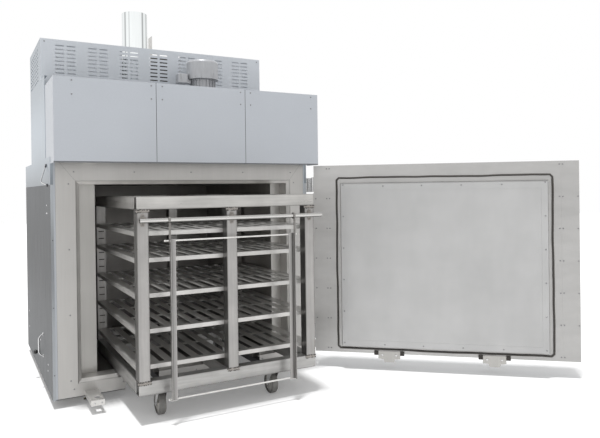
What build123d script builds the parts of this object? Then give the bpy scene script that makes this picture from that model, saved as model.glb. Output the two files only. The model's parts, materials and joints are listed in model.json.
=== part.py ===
from build123d import *
from math import cos, radians, sin
import os

os.makedirs("parts", exist_ok=True)

# Drying oven with its trolley, in millimetres.
# X runs to the right, Y runs into the oven, Z is up from the hall floor.
# The origin lies under the middle front levelling foot.

# Driving dimensions of the body
body_width = 2150
body_depth = 1950
foot_inset = 110
ground_gap = 60
seam_height = 1645
roof_height = 1850
wall_left = 339
wall_right = 288
wall_back = 160
sheet = 3
panel_gap = 0.3
rail_size = 50
floor_height = 178

# Front frame and the recess behind it, which takes the door's plug
frame_margin = 20
frame_bottom = 68
frame_top = 1847
frame_plate = 6
opening_left = 204
opening_right = 195
opening_bottom = 190
opening_top = 1646
lip_width = 30
lip_depth = 24
jamb_depth = 150
jamb_top = 1650

# Wheel tracks that cut through the floor
track_width = 264
track_left = 652
track_right = 1534

# Air duct between the perforated ceiling and the insulated roof
duct_height = 127
duct_front = 40

# Fascia over the door
fascia_reach = 200
fascia_bottom = 1800
fascia_top = 2410
fascia_joint_left = 735
fascia_joint_right = 1471
fascia_tray = 30
fascia_return = 470
fascia_overhang = 10

# Machinery enclosure on the roof
enclosure_width = 1945
enclosure_front_y = 520
enclosure_depth = 830
enclosure_top = 2835
louvre_groups = 7
louvre_rows = 11
louvre_pitch = 258
louvre_length = 68
louvre_height = 10.5
louvre_gap = 21
louvre_row_pitch = 32
louvre_first_row = 48

# Fan, its motor and its stand
fan_x = 1290
fan_y = 300
fan_radius = 220
fan_height = 70
fan_blades = 9
shaft_radius = 19
motor_bottom = 2230
motor_radius = 112
cowl_bottom = 2552
cowl_radius = 137
motor_top = 2714

# Exhaust pipe and its damper
pipe_x = 840
pipe_y = 850
pipe_radius = 112.5
pipe_wall = 3
pipe_top = 3212
damper_height = 2850
damper_shaft = 7

# Door, which hangs outside the body's right side and stands open at rest
door_width = 2220
door_thickness = 158
door_bottom = 137
door_top = 1797
door_open_angle = 138.65
door_reach = 39.5
gasket_gap = 15
hinge_edge_gap = 10.9
hinge_inset = 17.6
hinge_heights = (313, 1626)
hinge_length = 126
hinge_pin = 8
hinge_knuckle = 16
door_sheet = 2.5
plug_left = 240
plug_right = 1980
plug_bottom = 196
plug_top = 1640
plug_height = 48
plug_border = 50

# Lock rods on the door's outside
rod_radius = 8
rod_place = 1912
rod_standoff = 10
rod_travel = 60
lock_height = 1010

# Air inlet knob low on the left side
knob_depth = 897
knob_z = 225
knob_radius = 20
knob_spindle = 5
knob_clearance = 0.1

# Trolley at rest: posts, frames, shelves and castors
cart_left_gap = 462
cart_out = 651
cart_length = 1493
cart_column_pitch = 650
post_size = 80
post_wall = 3
base_beam = 95
top_beam = 88
castor_height = 199.5
cart_top = 1551
shelf_levels = (0, 4, 8, 12, 15)
post_slots = 16
post_slot_pitch = 61.6
post_slot_first = 378.4
post_slot_width = 47
post_slot_height = 9
shelf_rise = 7
shelf_rim = 30
shelf_sheet = 2
shelf_side_gap = 4
rail_radius = 13
rail_forward = 65
rail_z = 1390
wheel_radius = 80
wheel_width = 50
castor_trail = 38
front_castor_depth = 128
rear_castor_depth = 1311

# Derived places of the body
left = -body_width / 2
right = body_width / 2
front = -foot_inset
back = front + body_depth
chamber_left = left + wall_left
chamber_right = right - wall_right
chamber_back = back - wall_back
jamb_front = front + jamb_depth
mouth_left = left + opening_left
mouth_right = right - opening_right
ceiling = jamb_top
duct_top = ceiling + sheet + duct_height
fan_centre = (left + fan_x, front + fan_y)
pipe_centre = (left + pipe_x, front + pipe_y)
fascia_face = front - fascia_reach
enclosure_face = front + enclosure_front_y
enclosure_back = enclosure_face + enclosure_depth
enclosure_right = left + enclosure_width
tracks = (left + track_left, left + track_right)
track_edge = track_width / 2
base_spans = (
    (left + sheet, tracks[0] - track_edge),
    (tracks[0] + track_edge, tracks[1] - track_edge),
    (tracks[1] + track_edge, right - sheet),
)
knob_place = (front + knob_depth, knob_z)
foot_columns = (sum(base_spans[0]) / 2, 0, sum(base_spans[2]) / 2)


def slab(x, y, z, mode=Mode.ADD, frame=Plane.XY):
    """Bar or plate that spans the given (low, high) pairs in a frame."""
    with Locations(frame.location * Pos((x[0] + x[1]) / 2, (y[0] + y[1]) / 2, (z[0] + z[1]) / 2)):
        Box(x[1] - x[0], y[1] - y[0], z[1] - z[0], mode=mode)


def rod(plane, radius, length, mode=Mode.ADD):
    """Round bar that starts on a plane and runs along its normal."""
    with BuildSketch(plane) as section:
        Circle(radius)
    extrude(section.sketch, amount=length, mode=mode)


def tube_ring(plane, outer, wall, length):
    """Round tube that starts on a plane."""
    with BuildSketch(plane) as section:
        Circle(outer)
        Circle(outer - wall, mode=Mode.SUBTRACT)
    extrude(section.sketch, amount=length)


def hex_heads(plane, points, across, height):
    """Hexagon screw heads that stand on a plane at the given points."""
    with BuildSketch(plane) as heads:
        with Locations(*points):
            RegularPolygon(across / 2, 6, major_radius=False)
    extrude(heads.sketch, amount=height)


def at(x, y, z, axis, across=None):
    """Plane through a point with its normal along the given axis."""
    if across is None:
        return Plane(origin=(x, y, z), z_dir=axis)
    return Plane(origin=(x, y, z), x_dir=across, z_dir=axis)


# Levelling feet: a pad, a cone and a threaded stem each
foot_pad = 34
foot_stem = 12
with BuildPart() as levelling_feet:
    with BuildSketch(Plane.XZ) as foot_profile:
        with BuildLine():
            Polyline(
                (0, 0), (foot_pad, 0), (foot_pad, 9), (foot_stem + 6, 20),
                (foot_stem, 20), (foot_stem, ground_gap), (0, ground_gap), close=True,
            )
        make_face()
    with Locations(*[(x, y) for x in foot_columns for y in (0, back - foot_inset)]):
        add(revolve(foot_profile.sketch, axis=Axis.Z, mode=Mode.PRIVATE))
levelling_feet.part.label = "levelling_feet"
export_step(levelling_feet.part, "parts/levelling_feet.step")

# Base frame: three sledges of box rails, so that both wheel tracks stay open
base_front = front + frame_plate
base_back = back - sheet
base_top = ground_gap + rail_size
with BuildPart() as base_frame:
    for (low, high), middle in zip(base_spans, foot_columns):
        for x in (low + rail_size / 2, middle, high - rail_size / 2):
            slab((x - rail_size / 2, x + rail_size / 2), (base_front, base_back), (ground_gap, base_top))
        for y in (base_front, base_back - rail_size):
            slab((low, high), (y, y + rail_size), (ground_gap, base_top))
base_frame.part.label = "base_frame"
export_step(base_frame.part, "parts/base_frame.step")

# Insulated floor blocks on the sledges, one outside each track and one between the tracks
with BuildPart() as floor_blocks:
    for low, high in base_spans:
        block_low = max(low, chamber_left - sheet)
        block_high = min(high, chamber_right + sheet)
        slab((block_low, block_high), (jamb_front + sheet, chamber_back), (base_top, floor_height))
floor_blocks.part.label = "floor_blocks"
export_step(floor_blocks.part, "parts/floor_blocks.step")

# Lower side panels: folded sheets whose front flanges show as narrow painted strips
with BuildPart() as lower_side_panels:
    with BuildSketch(Plane.XY.offset(ground_gap)) as lower_fold:
        with BuildLine():
            Polyline(
                (left, front), (left + frame_margin, front), (left + frame_margin, front + sheet),
                (left + sheet, front + sheet), (left + sheet, back - sheet), (left, back - sheet), close=True,
            )
        make_face()
        mirror(about=Plane.YZ)
    extrude(amount=seam_height - panel_gap - ground_gap)
    rod(at(left - 1, *knob_place, (1, 0, 0)), knob_spindle + knob_clearance, sheet + 2, mode=Mode.SUBTRACT)
lower_side_panels.part.label = "lower_side_panels"
export_step(lower_side_panels.part, "parts/lower_side_panels.step")

# Upper side panels: the left one runs on up as the enclosure's louvred side
side_louvre_columns = 6
side_louvre_rows = 9
side_louvre_pitch = 104
side_louvre_top = 2790
with BuildPart() as upper_side_panels:
    with BuildSketch(Plane(origin=(left, 0, 0), x_dir=(0, 1, 0), z_dir=(1, 0, 0))):
        with BuildLine():
            Polyline(
                (front, seam_height), (back - sheet, seam_height), (back - sheet, roof_height),
                (enclosure_back, roof_height), (enclosure_back, enclosure_top),
                (enclosure_face + sheet, enclosure_top), (enclosure_face + sheet, roof_height),
                (front, roof_height), close=True,
            )
        make_face()
        louvre_zone_y = enclosure_back - 60 - side_louvre_columns * side_louvre_pitch / 2
        louvre_zone_z = side_louvre_top - side_louvre_rows * louvre_row_pitch / 2
        with Locations((louvre_zone_y, louvre_zone_z)):
            with GridLocations(side_louvre_pitch, louvre_row_pitch, side_louvre_columns, side_louvre_rows):
                Rectangle(louvre_length, louvre_height, mode=Mode.SUBTRACT)
    extrude(amount=sheet)
    slab((right - sheet, right), (front, back - sheet), (seam_height, roof_height))
    for x0, x1 in ((left + sheet, left + frame_margin), (right - frame_margin, right - sheet)):
        slab((x0, x1), (front, front + sheet), (seam_height, frame_top))
upper_side_panels.part.label = "upper_side_panels"
export_step(upper_side_panels.part, "parts/upper_side_panels.step")

# Rear panel: one sheet with stiffening folds along both sides
with BuildPart() as rear_panel:
    with BuildSketch(Plane.XY.offset(ground_gap)) as rear_fold:
        with BuildLine():
            Polyline(
                (left, back), (left, back - sheet), (right, back - sheet), (right, back), close=True,
            )
        make_face()
    extrude(amount=roof_height - sheet - ground_gap)
rear_panel.part.label = "rear_panel"
export_step(rear_panel.part, "parts/rear_panel.step")

# Roof sheet with holes for the fan shaft and the exhaust pipe
shaft_hole = 60
with BuildPart() as roof_panel:
    with BuildSketch(Plane.XY.offset(roof_height - sheet)):
        with Locations((0, (front + back) / 2)):
            Rectangle(body_width - 2 * sheet, body_depth)
        with Locations(fan_centre):
            Circle(shaft_hole, mode=Mode.SUBTRACT)
        with Locations(pipe_centre):
            Circle(pipe_radius + panel_gap, mode=Mode.SUBTRACT)
    extrude(amount=sheet)
roof_panel.part.label = "roof_panel"
export_step(roof_panel.part, "parts/roof_panel.step")

# Stainless front frame: face plate, bevelled lip and a straight return into the recess
mouth_middle = ((mouth_left + mouth_right) / 2, (opening_bottom + opening_top) / 2)
mouth_size = (mouth_right - mouth_left, opening_top - opening_bottom)


def mouth_rectangle(depth, grow):
    """Rectangle around the mouth at a depth behind the front face."""
    plane = Plane(origin=(mouth_middle[0], front + depth, mouth_middle[1]), x_dir=(1, 0, 0), z_dir=(0, 1, 0))
    with BuildSketch(plane) as outline:
        Rectangle(mouth_size[0] + 2 * grow, mouth_size[1] + 2 * grow)
    return outline.sketch


with BuildPart() as front_frame:
    slab((left + frame_margin, right - frame_margin), (front, front + frame_plate), (frame_bottom, frame_top))
    loft([mouth_rectangle(0, lip_width + sheet), mouth_rectangle(lip_depth, sheet)])
    extrude(mouth_rectangle(lip_depth, sheet), amount=jamb_depth - lip_depth)
    loft([mouth_rectangle(0, lip_width), mouth_rectangle(lip_depth, 0)], mode=Mode.SUBTRACT)
    extrude(mouth_rectangle(lip_depth, 0), amount=jamb_depth - lip_depth, mode=Mode.SUBTRACT)
    for track in tracks:
        slab(
            (track - track_edge, track + track_edge), (front - 1, jamb_front + 1),
            (frame_bottom - 1, opening_bottom + 1), mode=Mode.SUBTRACT,
        )
front_frame.part.label = "front_frame"
export_step(front_frame.part, "parts/front_frame.step")

# Jamb frame at the back of the recess, slotted for the tracks
with BuildPart() as jamb_frame:
    slab(
        (mouth_left - sheet, mouth_right + sheet), (jamb_front, jamb_front + sheet),
        (base_top, opening_top + sheet),
    )
    slab(
        (chamber_left, chamber_right), (jamb_front - 1, jamb_front + sheet + 1),
        (floor_height, opening_top), mode=Mode.SUBTRACT,
    )
    for track in tracks:
        slab(
            (track - track_edge, track + track_edge), (jamb_front - 1, jamb_front + sheet + 1),
            (base_top - 1, floor_height + 1), mode=Mode.SUBTRACT,
        )
jamb_frame.part.label = "jamb_frame"
export_step(jamb_frame.part, "parts/jamb_frame.step")

# Chamber liner: side sheets with the duct's cheeks, back sheet, duct front and duct top
duct_start = front + duct_front
liner_front = jamb_front + sheet
with BuildPart() as chamber_liner:
    for x in (chamber_left - sheet, chamber_right):
        with BuildSketch(Plane(origin=(x, 0, 0), x_dir=(0, 1, 0), z_dir=(1, 0, 0))) as cheek:
            with BuildLine():
                Polyline(
                    (liner_front, floor_height), (chamber_back - panel_gap, floor_height),
                    (chamber_back - panel_gap, duct_top - panel_gap), (duct_start, duct_top - panel_gap),
                    (duct_start, ceiling), (liner_front, ceiling), close=True,
                )
            make_face()
        extrude(cheek.sketch, amount=sheet)
    wide = (chamber_left - sheet, chamber_right + sheet)
    slab(wide, (chamber_back, chamber_back + sheet), (base_top, duct_top - panel_gap))
    slab(wide, (duct_start - panel_gap - sheet, duct_start - panel_gap), (ceiling, duct_top - panel_gap))
    with BuildSketch(Plane.XY.offset(duct_top)):
        with Locations(((wide[0] + wide[1]) / 2, (duct_start + chamber_back) / 2)):
            Rectangle(wide[1] - wide[0], chamber_back - duct_start + 2 * sheet)
        with Locations(fan_centre):
            Circle(shaft_radius + 6, mode=Mode.SUBTRACT)
        with Locations(pipe_centre):
            Circle(pipe_radius + panel_gap, mode=Mode.SUBTRACT)
    extrude(amount=sheet)
chamber_liner.part.label = "chamber_liner"
export_step(chamber_liner.part, "parts/chamber_liner.step")

# Insulation slabs between the casing and the liner
with BuildPart() as wall_insulation:
    for x in ((left + sheet, chamber_left - sheet), (chamber_right + sheet, right - sheet)):
        slab(x, (liner_front, chamber_back), (base_top, duct_top))
    rod(at(left, *knob_place, (1, 0, 0)), knob_spindle + 4, 20, mode=Mode.SUBTRACT)
    slab((left + sheet, right - sheet), (chamber_back + sheet, back - sheet), (base_top, duct_top))
    with BuildSketch(Plane.XY.offset(duct_top + sheet)):
        with Locations((0, (duct_start + back - sheet) / 2)):
            Rectangle(body_width - 2 * sheet, back - sheet - duct_start)
        with Locations(fan_centre):
            Circle(shaft_hole, mode=Mode.SUBTRACT)
        with Locations(pipe_centre):
            Circle(pipe_radius + panel_gap, mode=Mode.SUBTRACT)
    extrude(amount=roof_height - 2 * sheet - duct_top)
wall_insulation.part.label = "wall_insulation"
export_step(wall_insulation.part, "parts/wall_insulation.step")

# Air baffle over the chamber: an intake under the fan and outlet slots along both walls
outlet_count = 9
outlet_pitch = 165
intake_radius = 135
with BuildPart() as air_baffle:
    with BuildSketch(Plane.XY.offset(ceiling)):
        with Locations(((chamber_left + chamber_right) / 2, (duct_start + chamber_back) / 2)):
            Rectangle(chamber_right - chamber_left, chamber_back - duct_start)
        with Locations(fan_centre):
            Circle(intake_radius, mode=Mode.SUBTRACT)
        for x in (chamber_left + 60, chamber_right - 60):
            with Locations((x, (jamb_front + chamber_back) / 2)):
                with GridLocations(1, outlet_pitch, 1, outlet_count):
                    Rectangle(40, 120, mode=Mode.SUBTRACT)
    extrude(amount=sheet)
air_baffle.part.label = "air_baffle"
export_step(air_baffle.part, "parts/air_baffle.step")

# Heater bank in the duct behind the fan: straight tubular rods between two end plates
heater_rods = 6
heater_radius = 8
heater_start = front + 900
heater_plate = 5
heater_middle = ceiling + sheet + duct_height / 2
with BuildPart() as heater_bank:
    for x in (chamber_left + 180, chamber_right - 180 - heater_plate):
        slab(
            (x, x + heater_plate), (heater_start - 60, heater_start + heater_rods * 70),
            (ceiling + sheet, duct_top - panel_gap),
        )
    heater_plane = at(chamber_left + 180, heater_start, heater_middle, (1, 0, 0), (0, 1, 0))
    with BuildSketch(heater_plane) as heater_sections:
        for i in range(heater_rods):
            with Locations((i * 70, 25 if i % 2 else -25)):
                Circle(heater_radius)
    extrude(heater_sections.sketch, amount=chamber_right - chamber_left - 360)
heater_bank.part.label = "heater_bank"
export_step(heater_bank.part, "parts/heater_bank.step")

# Motor stand on the roof: two plates joined by four angle legs
stand_half = 150
stand_plate = 8
leg_width = 40
leg_wall = 5
with BuildPart() as motor_stand:
    for z in (roof_height, motor_bottom - stand_plate):
        with BuildSketch(Plane.XY.offset(z)) as stand_outline:
            with Locations(fan_centre):
                RectangleRounded(2 * stand_half, 2 * stand_half, 12)
                Circle(shaft_hole, mode=Mode.SUBTRACT)
        extrude(stand_outline.sketch, amount=stand_plate)
    with BuildSketch(Plane.XY.offset(roof_height + stand_plate)) as legs:
        for sx in (-1, 1):
            for sy in (-1, 1):
                outer_x = fan_centre[0] + sx * (stand_half - 10)
                outer_y = fan_centre[1] + sy * (stand_half - 10)
                with Locations((outer_x - sx * leg_width / 2, outer_y - sy * leg_wall / 2)):
                    Rectangle(leg_width, leg_wall)
                with Locations((outer_x - sx * leg_wall / 2, outer_y - sy * leg_width / 2)):
                    Rectangle(leg_wall, leg_width)
    extrude(legs.sketch, amount=motor_bottom - roof_height - 2 * stand_plate)
motor_stand.part.label = "motor_stand"
export_step(motor_stand.part, "parts/motor_stand.step")

# Fan motor: flange, finned body and the end shield inside the cowl, bored for the shaft
motor_flange = 14
motor_fins = 20
shaft_seat = 120
running_gap = 0.05
shield_height = 12
with BuildPart() as fan_motor:
    rod(at(*fan_centre, motor_bottom, (0, 0, 1)), motor_radius + 24, motor_flange)
    rod(at(*fan_centre, motor_bottom, (0, 0, 1)), motor_radius - 12, cowl_bottom - motor_bottom)
    with BuildSketch(Plane.XY.offset(motor_bottom + motor_flange + 16)) as fins:
        with Locations(fan_centre):
            with PolarLocations(motor_radius - 9, motor_fins):
                Rectangle(18, 5)
    extrude(fins.sketch, amount=cowl_bottom - motor_bottom - motor_flange - 16)
    rod(at(*fan_centre, cowl_bottom, (0, 0, 1)), cowl_radius - sheet - panel_gap, shield_height)
    rod(at(*fan_centre, motor_bottom, (0, 0, 1)), shaft_radius + running_gap, shaft_seat, mode=Mode.SUBTRACT)
fan_motor.part.label = "fan_motor"
export_step(fan_motor.part, "parts/fan_motor.step")

# Motor cowl: a drawn cup over the cooling fan with radial slots in its top
cowl_corner = 22
with BuildPart() as motor_cowl:
    with BuildSketch(Plane(origin=(*fan_centre, 0), x_dir=(1, 0, 0), z_dir=(0, -1, 0))) as cowl_profile:
        with BuildLine():
            top = motor_top
            Line((0, top), (cowl_radius - cowl_corner, top))
            RadiusArc((cowl_radius - cowl_corner, top), (cowl_radius, top - cowl_corner), cowl_corner)
            Line((cowl_radius, top - cowl_corner), (cowl_radius, cowl_bottom))
            Line((cowl_radius, cowl_bottom), (cowl_radius - sheet, cowl_bottom))
            Line((cowl_radius - sheet, cowl_bottom), (cowl_radius - sheet, top - cowl_corner))
            RadiusArc(
                (cowl_radius - sheet, top - cowl_corner), (cowl_radius - cowl_corner, top - sheet),
                -(cowl_corner - sheet),
            )
            Line((cowl_radius - cowl_corner, top - sheet), (0, top - sheet))
            Line((0, top - sheet), (0, top))
        make_face()
    revolve(cowl_profile.sketch, axis=Axis((*fan_centre, 0), (0, 0, 1)))
    with BuildSketch(Plane.XY.offset(motor_top - sheet - 1)) as cowl_slots:
        with Locations(fan_centre):
            with PolarLocations(70, 12):
                Rectangle(60, 12)
    extrude(cowl_slots.sketch, amount=sheet + 2, mode=Mode.SUBTRACT)
motor_cowl.part.label = "motor_cowl"
export_step(motor_cowl.part, "parts/motor_cowl.step")

# Terminal box on the motor's left side
box_left = left + 1060
box_right = left + 1144
with BuildPart() as terminal_box:
    slab((box_left, box_right), (fan_centre[1] - 42, fan_centre[1] + 42), (2513, 2592))
    fillet(terminal_box.edges().filter_by(Axis.Z), 6)
    slab((box_right, fan_centre[0] - motor_radius), (fan_centre[1] - 22, fan_centre[1] + 22), (2513, 2546))
terminal_box.part.label = "terminal_box"
export_step(terminal_box.part, "parts/terminal_box.step")

# Fascia: three folded trays, open behind and below
joint_gap = 2
tray_wall = 2.5
fascia_left = left + 2
fascia_right = right + fascia_overhang
fascia_edges = (fascia_left, left + fascia_joint_left, left + fascia_joint_right, fascia_right)
tray_back = fascia_face + fascia_tray
with BuildPart() as fascia_panels:
    for low, high in zip(fascia_edges, fascia_edges[1:]):
        x0 = low + joint_gap / 2
        x1 = high - joint_gap / 2
        slab((x0, x1), (fascia_face, tray_back), (fascia_bottom, fascia_top))
        slab(
            (x0 + tray_wall, x1 - tray_wall), (fascia_face + tray_wall, tray_back),
            (fascia_bottom, fascia_top - tray_wall), mode=Mode.SUBTRACT,
        )
fascia_panels.part.label = "fascia_panels"
export_step(fascia_panels.part, "parts/fascia_panels.step")

# Side returns of the fascia, cut round the body's top front edge
return_end = tray_back - fascia_tray + fascia_return
fascia_return_sides = (fascia_left + joint_gap / 2, fascia_right - joint_gap / 2 - sheet)
with BuildPart() as fascia_returns:
    for x in fascia_return_sides:
        with BuildSketch(Plane(origin=(x, 0, 0), x_dir=(0, 1, 0), z_dir=(1, 0, 0))) as return_side:
            with BuildLine():
                Polyline(
                    (tray_back, fascia_bottom), (front - panel_gap, fascia_bottom),
                    (front - panel_gap, roof_height), (return_end, roof_height),
                    (return_end, fascia_top), (tray_back, fascia_top), close=True,
                )
            make_face()
        extrude(return_side.sketch, amount=sheet)
fascia_returns.part.label = "fascia_returns"
export_step(fascia_returns.part, "parts/fascia_returns.step")

# Fascia frame: two cross rails on uprights, with feet that stand on the roof
fascia_rail = 40
strut_columns = (left + 60, left + fascia_joint_left, left + fascia_joint_right, right - 60)
frame_span = (fascia_return_sides[0] + sheet, fascia_return_sides[1])
strut_reach = 250
with BuildPart() as fascia_frame:
    for z in (roof_height + 10, fascia_top - tray_wall - fascia_rail):
        slab(frame_span, (tray_back, tray_back + fascia_rail), (z, z + fascia_rail))
    for x in strut_columns:
        side = (x - fascia_rail / 2, x + fascia_rail / 2)
        slab(side, (tray_back + fascia_rail, front + strut_reach), (roof_height, roof_height + 50))
        slab(
            side, (tray_back + fascia_rail, tray_back + 2 * fascia_rail),
            (roof_height + 50, fascia_top - tray_wall),
        )
fascia_frame.part.label = "fascia_frame"
export_step(fascia_frame.part, "parts/fascia_frame.step")

# Enclosure front cover: a folded sheet with groups of paired louvre slots
louvre_first_group = 191
cover_fold = 22
with BuildPart() as enclosure_front:
    cover_plane = Plane(origin=(0, enclosure_face, 0), x_dir=(1, 0, 0), z_dir=(0, -1, 0)).offset(-sheet)
    with BuildSketch(cover_plane):
        with Locations(((left + enclosure_right) / 2, (roof_height + enclosure_top) / 2)):
            Rectangle(enclosure_width, enclosure_top - roof_height)
        louvre_middle_z = enclosure_top - louvre_first_row - (louvre_rows - 1) * louvre_row_pitch / 2
        for group in range(louvre_groups):
            with Locations((left + louvre_first_group + group * louvre_pitch, louvre_middle_z)):
                with GridLocations(louvre_length + louvre_gap, louvre_row_pitch, 2, louvre_rows):
                    Rectangle(louvre_length, louvre_height, mode=Mode.SUBTRACT)
    extrude(amount=sheet)
    slab(
        (left + sheet + 1, enclosure_right - sheet - 1), (enclosure_face + sheet, enclosure_face + cover_fold),
        (enclosure_top - sheet, enclosure_top),
    )
enclosure_front.part.label = "enclosure_front"
export_step(enclosure_front.part, "parts/enclosure_front.step")

# Enclosure right side and back, which stand on the roof; the top stays open
with BuildPart() as enclosure_walls:
    slab(
        (enclosure_right - sheet, enclosure_right), (enclosure_face + sheet, enclosure_back),
        (roof_height, enclosure_top),
    )
    slab(
        (left + sheet, enclosure_right - sheet - panel_gap), (enclosure_back - sheet, enclosure_back),
        (roof_height, enclosure_top),
    )
enclosure_walls.part.label = "enclosure_walls"
export_step(enclosure_walls.part, "parts/enclosure_walls.step")

# Exhaust pipe with its roof flange, cross-drilled for the damper shaft, and a stop bead under the duct's seat
pipe_flange = 150
pipe_flange_height = 6
pipe_bore = pipe_radius - pipe_wall
spigot_length = 333
bead_height = 6
bead_out = 3
with BuildPart() as exhaust_pipe:
    tube_ring(at(*pipe_centre, duct_top, (0, 0, 1)), pipe_radius, pipe_wall, pipe_top - duct_top)
    tube_ring(at(*pipe_centre, roof_height, (0, 0, 1)), pipe_flange, pipe_flange - pipe_bore, pipe_flange_height)
    tube_ring(
        at(*pipe_centre, pipe_top - spigot_length - bead_height, (0, 0, 1)), pipe_radius + bead_out,
        pipe_wall + bead_out, bead_height,
    )
    damper_line = at(pipe_centre[0] - pipe_radius - 5, pipe_centre[1], damper_height, (1, 0, 0))
    rod(damper_line, damper_shaft + running_gap, 2 * pipe_radius + 10, mode=Mode.SUBTRACT)
exhaust_pipe.part.label = "exhaust_pipe"
export_step(exhaust_pipe.part, "parts/exhaust_pipe.step")

# Damper: an oval-edged disc on a cross shaft with a bent setting lever outside the pipe
damper_clearance = 3
damper_plate = 3
lever_offset = pipe_radius + 14
lever_length = 222
with BuildPart() as damper_flap:
    rod(
        at(pipe_centre[0] - pipe_radius - 6, pipe_centre[1], damper_height, (1, 0, 0)),
        damper_shaft, pipe_radius + 6 + lever_offset + 6,
    )
    disc_plane = at(pipe_centre[0], pipe_centre[1] - damper_plate / 2, damper_height, (0, 1, 0))
    rod(disc_plane, pipe_bore - damper_clearance, damper_plate)
    lever_x = pipe_centre[0] + lever_offset
    slab(
        (lever_x, lever_x + 5), (pipe_centre[1] - 16, pipe_centre[1] + 16),
        (damper_height - 16, damper_height + lever_length),
    )
    slab(
        (lever_x + 5, lever_x + 42), (pipe_centre[1] - 16, pipe_centre[1] + 16),
        (damper_height + lever_length - 5, damper_height + lever_length),
    )
damper_flap.part.label = "damper_flap"
export_step(damper_flap.part, "parts/damper_flap.step")

# Fan rotor: back plate, backward-leaning blades, inlet ring and the long shaft
fan_bottom = ceiling + sheet + 15
fan_plate = 4
fan_top = fan_bottom + fan_height
inlet_radius = 140
blade_lean = 35
shaft_top = motor_bottom + shaft_seat - 2
with BuildPart() as fan_rotor:
    rod(at(*fan_centre, fan_top - fan_plate, (0, 0, 1)), fan_radius, fan_plate)
    rod(at(*fan_centre, fan_bottom + 20, (0, 0, 1)), 42, fan_height - 20 - fan_plate)
    tube_ring(at(*fan_centre, fan_bottom, (0, 0, 1)), fan_radius, fan_radius - inlet_radius, fan_plate)
    with BuildSketch(Plane.XY.offset(fan_bottom + fan_plate)) as blades:
        with Locations(fan_centre):
            with PolarLocations((fan_radius + inlet_radius) / 2, fan_blades):
                Rectangle(fan_radius - inlet_radius, 4, rotation=blade_lean)
    extrude(blades.sketch, amount=fan_height - 2 * fan_plate)
    rod(at(*fan_centre, fan_bottom + 20, (0, 0, 1)), shaft_radius, shaft_top - fan_bottom - 20)
fan_rotor.part.label = "fan_rotor"
export_step(fan_rotor.part, "parts/fan_rotor.step")

# Wire loops at both front corners: a slanting triangle between two bosses
loop_radius = 6
loop_bend = 14
loop_upper = (213, 1795)
loop_middle = (200, 1670)
loop_lower = (156, 1643)
loop_out = 48
boss_radius = 13
boss_height = 8
with BuildPart() as lashing_loops:
    for side, face in ((-1, left), (1, right)):
        for y, z in (loop_upper, loop_lower):
            rod(at(face, front + y, z, (side, 0, 0)), boss_radius, boss_height)
        with BuildLine() as loop_path:
            FilletPolyline(
                (face + side * 4, front + loop_upper[0], loop_upper[1]),
                (face + side * loop_out, front + loop_middle[0], loop_middle[1]),
                (face + side * 4, front + loop_lower[0], loop_lower[1]),
                radius=loop_bend,
            )
        loop_start = loop_path.wires()[0]
        with BuildSketch(Plane(origin=loop_start @ 0, z_dir=loop_start % 0)) as loop_section:
            Circle(loop_radius)
        sweep(loop_section.sketch, path=loop_start)
        slab((min(face, face - side * 9), max(face, face - side * 9)), (front + 150, front + 225), (1630, 1810),
             mode=Mode.SUBTRACT)
lashing_loops.part.label = "lashing_loops"
export_step(lashing_loops.part, "parts/lashing_loops.step")

# Bow handle low on the left side
handle_y = front + 585
handle_low = 252
handle_high = 444
handle_out = 45
handle_bar = 7
with BuildPart() as bow_handle:
    for z in (handle_low + handle_bar, handle_high - handle_bar):
        rod(at(left, handle_y, z, (-1, 0, 0)), 15, 5)
    with BuildLine() as bow_path:
        FilletPolyline(
            (left - 2, handle_y, handle_low + handle_bar),
            (left - handle_out + handle_bar, handle_y, handle_low + handle_bar),
            (left - handle_out + handle_bar, handle_y, handle_high - handle_bar),
            (left - 2, handle_y, handle_high - handle_bar),
            radius=20,
        )
    bow_wire = bow_path.wires()[0]
    with BuildSketch(Plane(origin=bow_wire @ 0, z_dir=bow_wire % 0)) as bow_section:
        Circle(handle_bar)
    sweep(bow_section.sketch, path=bow_wire)
bow_handle.part.label = "bow_handle"
export_step(bow_handle.part, "parts/bow_handle.step")

# Quarter-turn knob of the air inlet, with its spindle through the side panel
with BuildPart() as inlet_knob:
    rod(at(left - panel_gap, *knob_place, (-1, 0, 0)), 14, 7)
    rod(at(left - 7, *knob_place, (-1, 0, 0)), knob_radius, 10)
    slab(
        (left - 33, left - 17), (knob_place[0] - 6, knob_place[0] + 6),
        (knob_z - knob_radius, knob_z + knob_radius),
    )
    rod(at(left - panel_gap, *knob_place, (1, 0, 0)), knob_spindle, 16)
inlet_knob.part.label = "inlet_knob"
export_step(inlet_knob.part, "parts/inlet_knob.step")

# Lock keepers: forked arms that reach out from the front frame, one low and one behind the fascia
keeper_left = left + 222
keeper_right = left + 317
keeper_wall = 5
keeper_slot = 17
lower_keeper_reach = 257
lower_keeper_top = 100
upper_keeper_reach = 195
upper_keeper_z = 1815
rod_x = right + door_reach - rod_place
rod_y_closed = front - gasket_gap - door_thickness - rod_standoff
with BuildPart() as lock_keepers:
    slab((keeper_left, keeper_right), (front - lower_keeper_reach, front), (ground_gap, lower_keeper_top))
    slab(
        (keeper_left + keeper_wall, keeper_right - keeper_wall),
        (front - lower_keeper_reach + keeper_wall, front - keeper_wall),
        (ground_gap, lower_keeper_top - keeper_wall), mode=Mode.SUBTRACT,
    )
    slab(
        (rod_x - keeper_slot, rod_x + keeper_slot), (rod_y_closed - 25, rod_y_closed + 25),
        (ground_gap, lower_keeper_top + 1), mode=Mode.SUBTRACT,
    )
    slab((keeper_left, keeper_right), (front - upper_keeper_reach, front), (upper_keeper_z, upper_keeper_z + 12))
    slab(
        (rod_x - keeper_slot, rod_x + keeper_slot), (front - upper_keeper_reach - 1, rod_y_closed + 25),
        (upper_keeper_z - 1, upper_keeper_z + 13), mode=Mode.SUBTRACT,
    )
lock_keepers.part.label = "lock_keepers"
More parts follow.
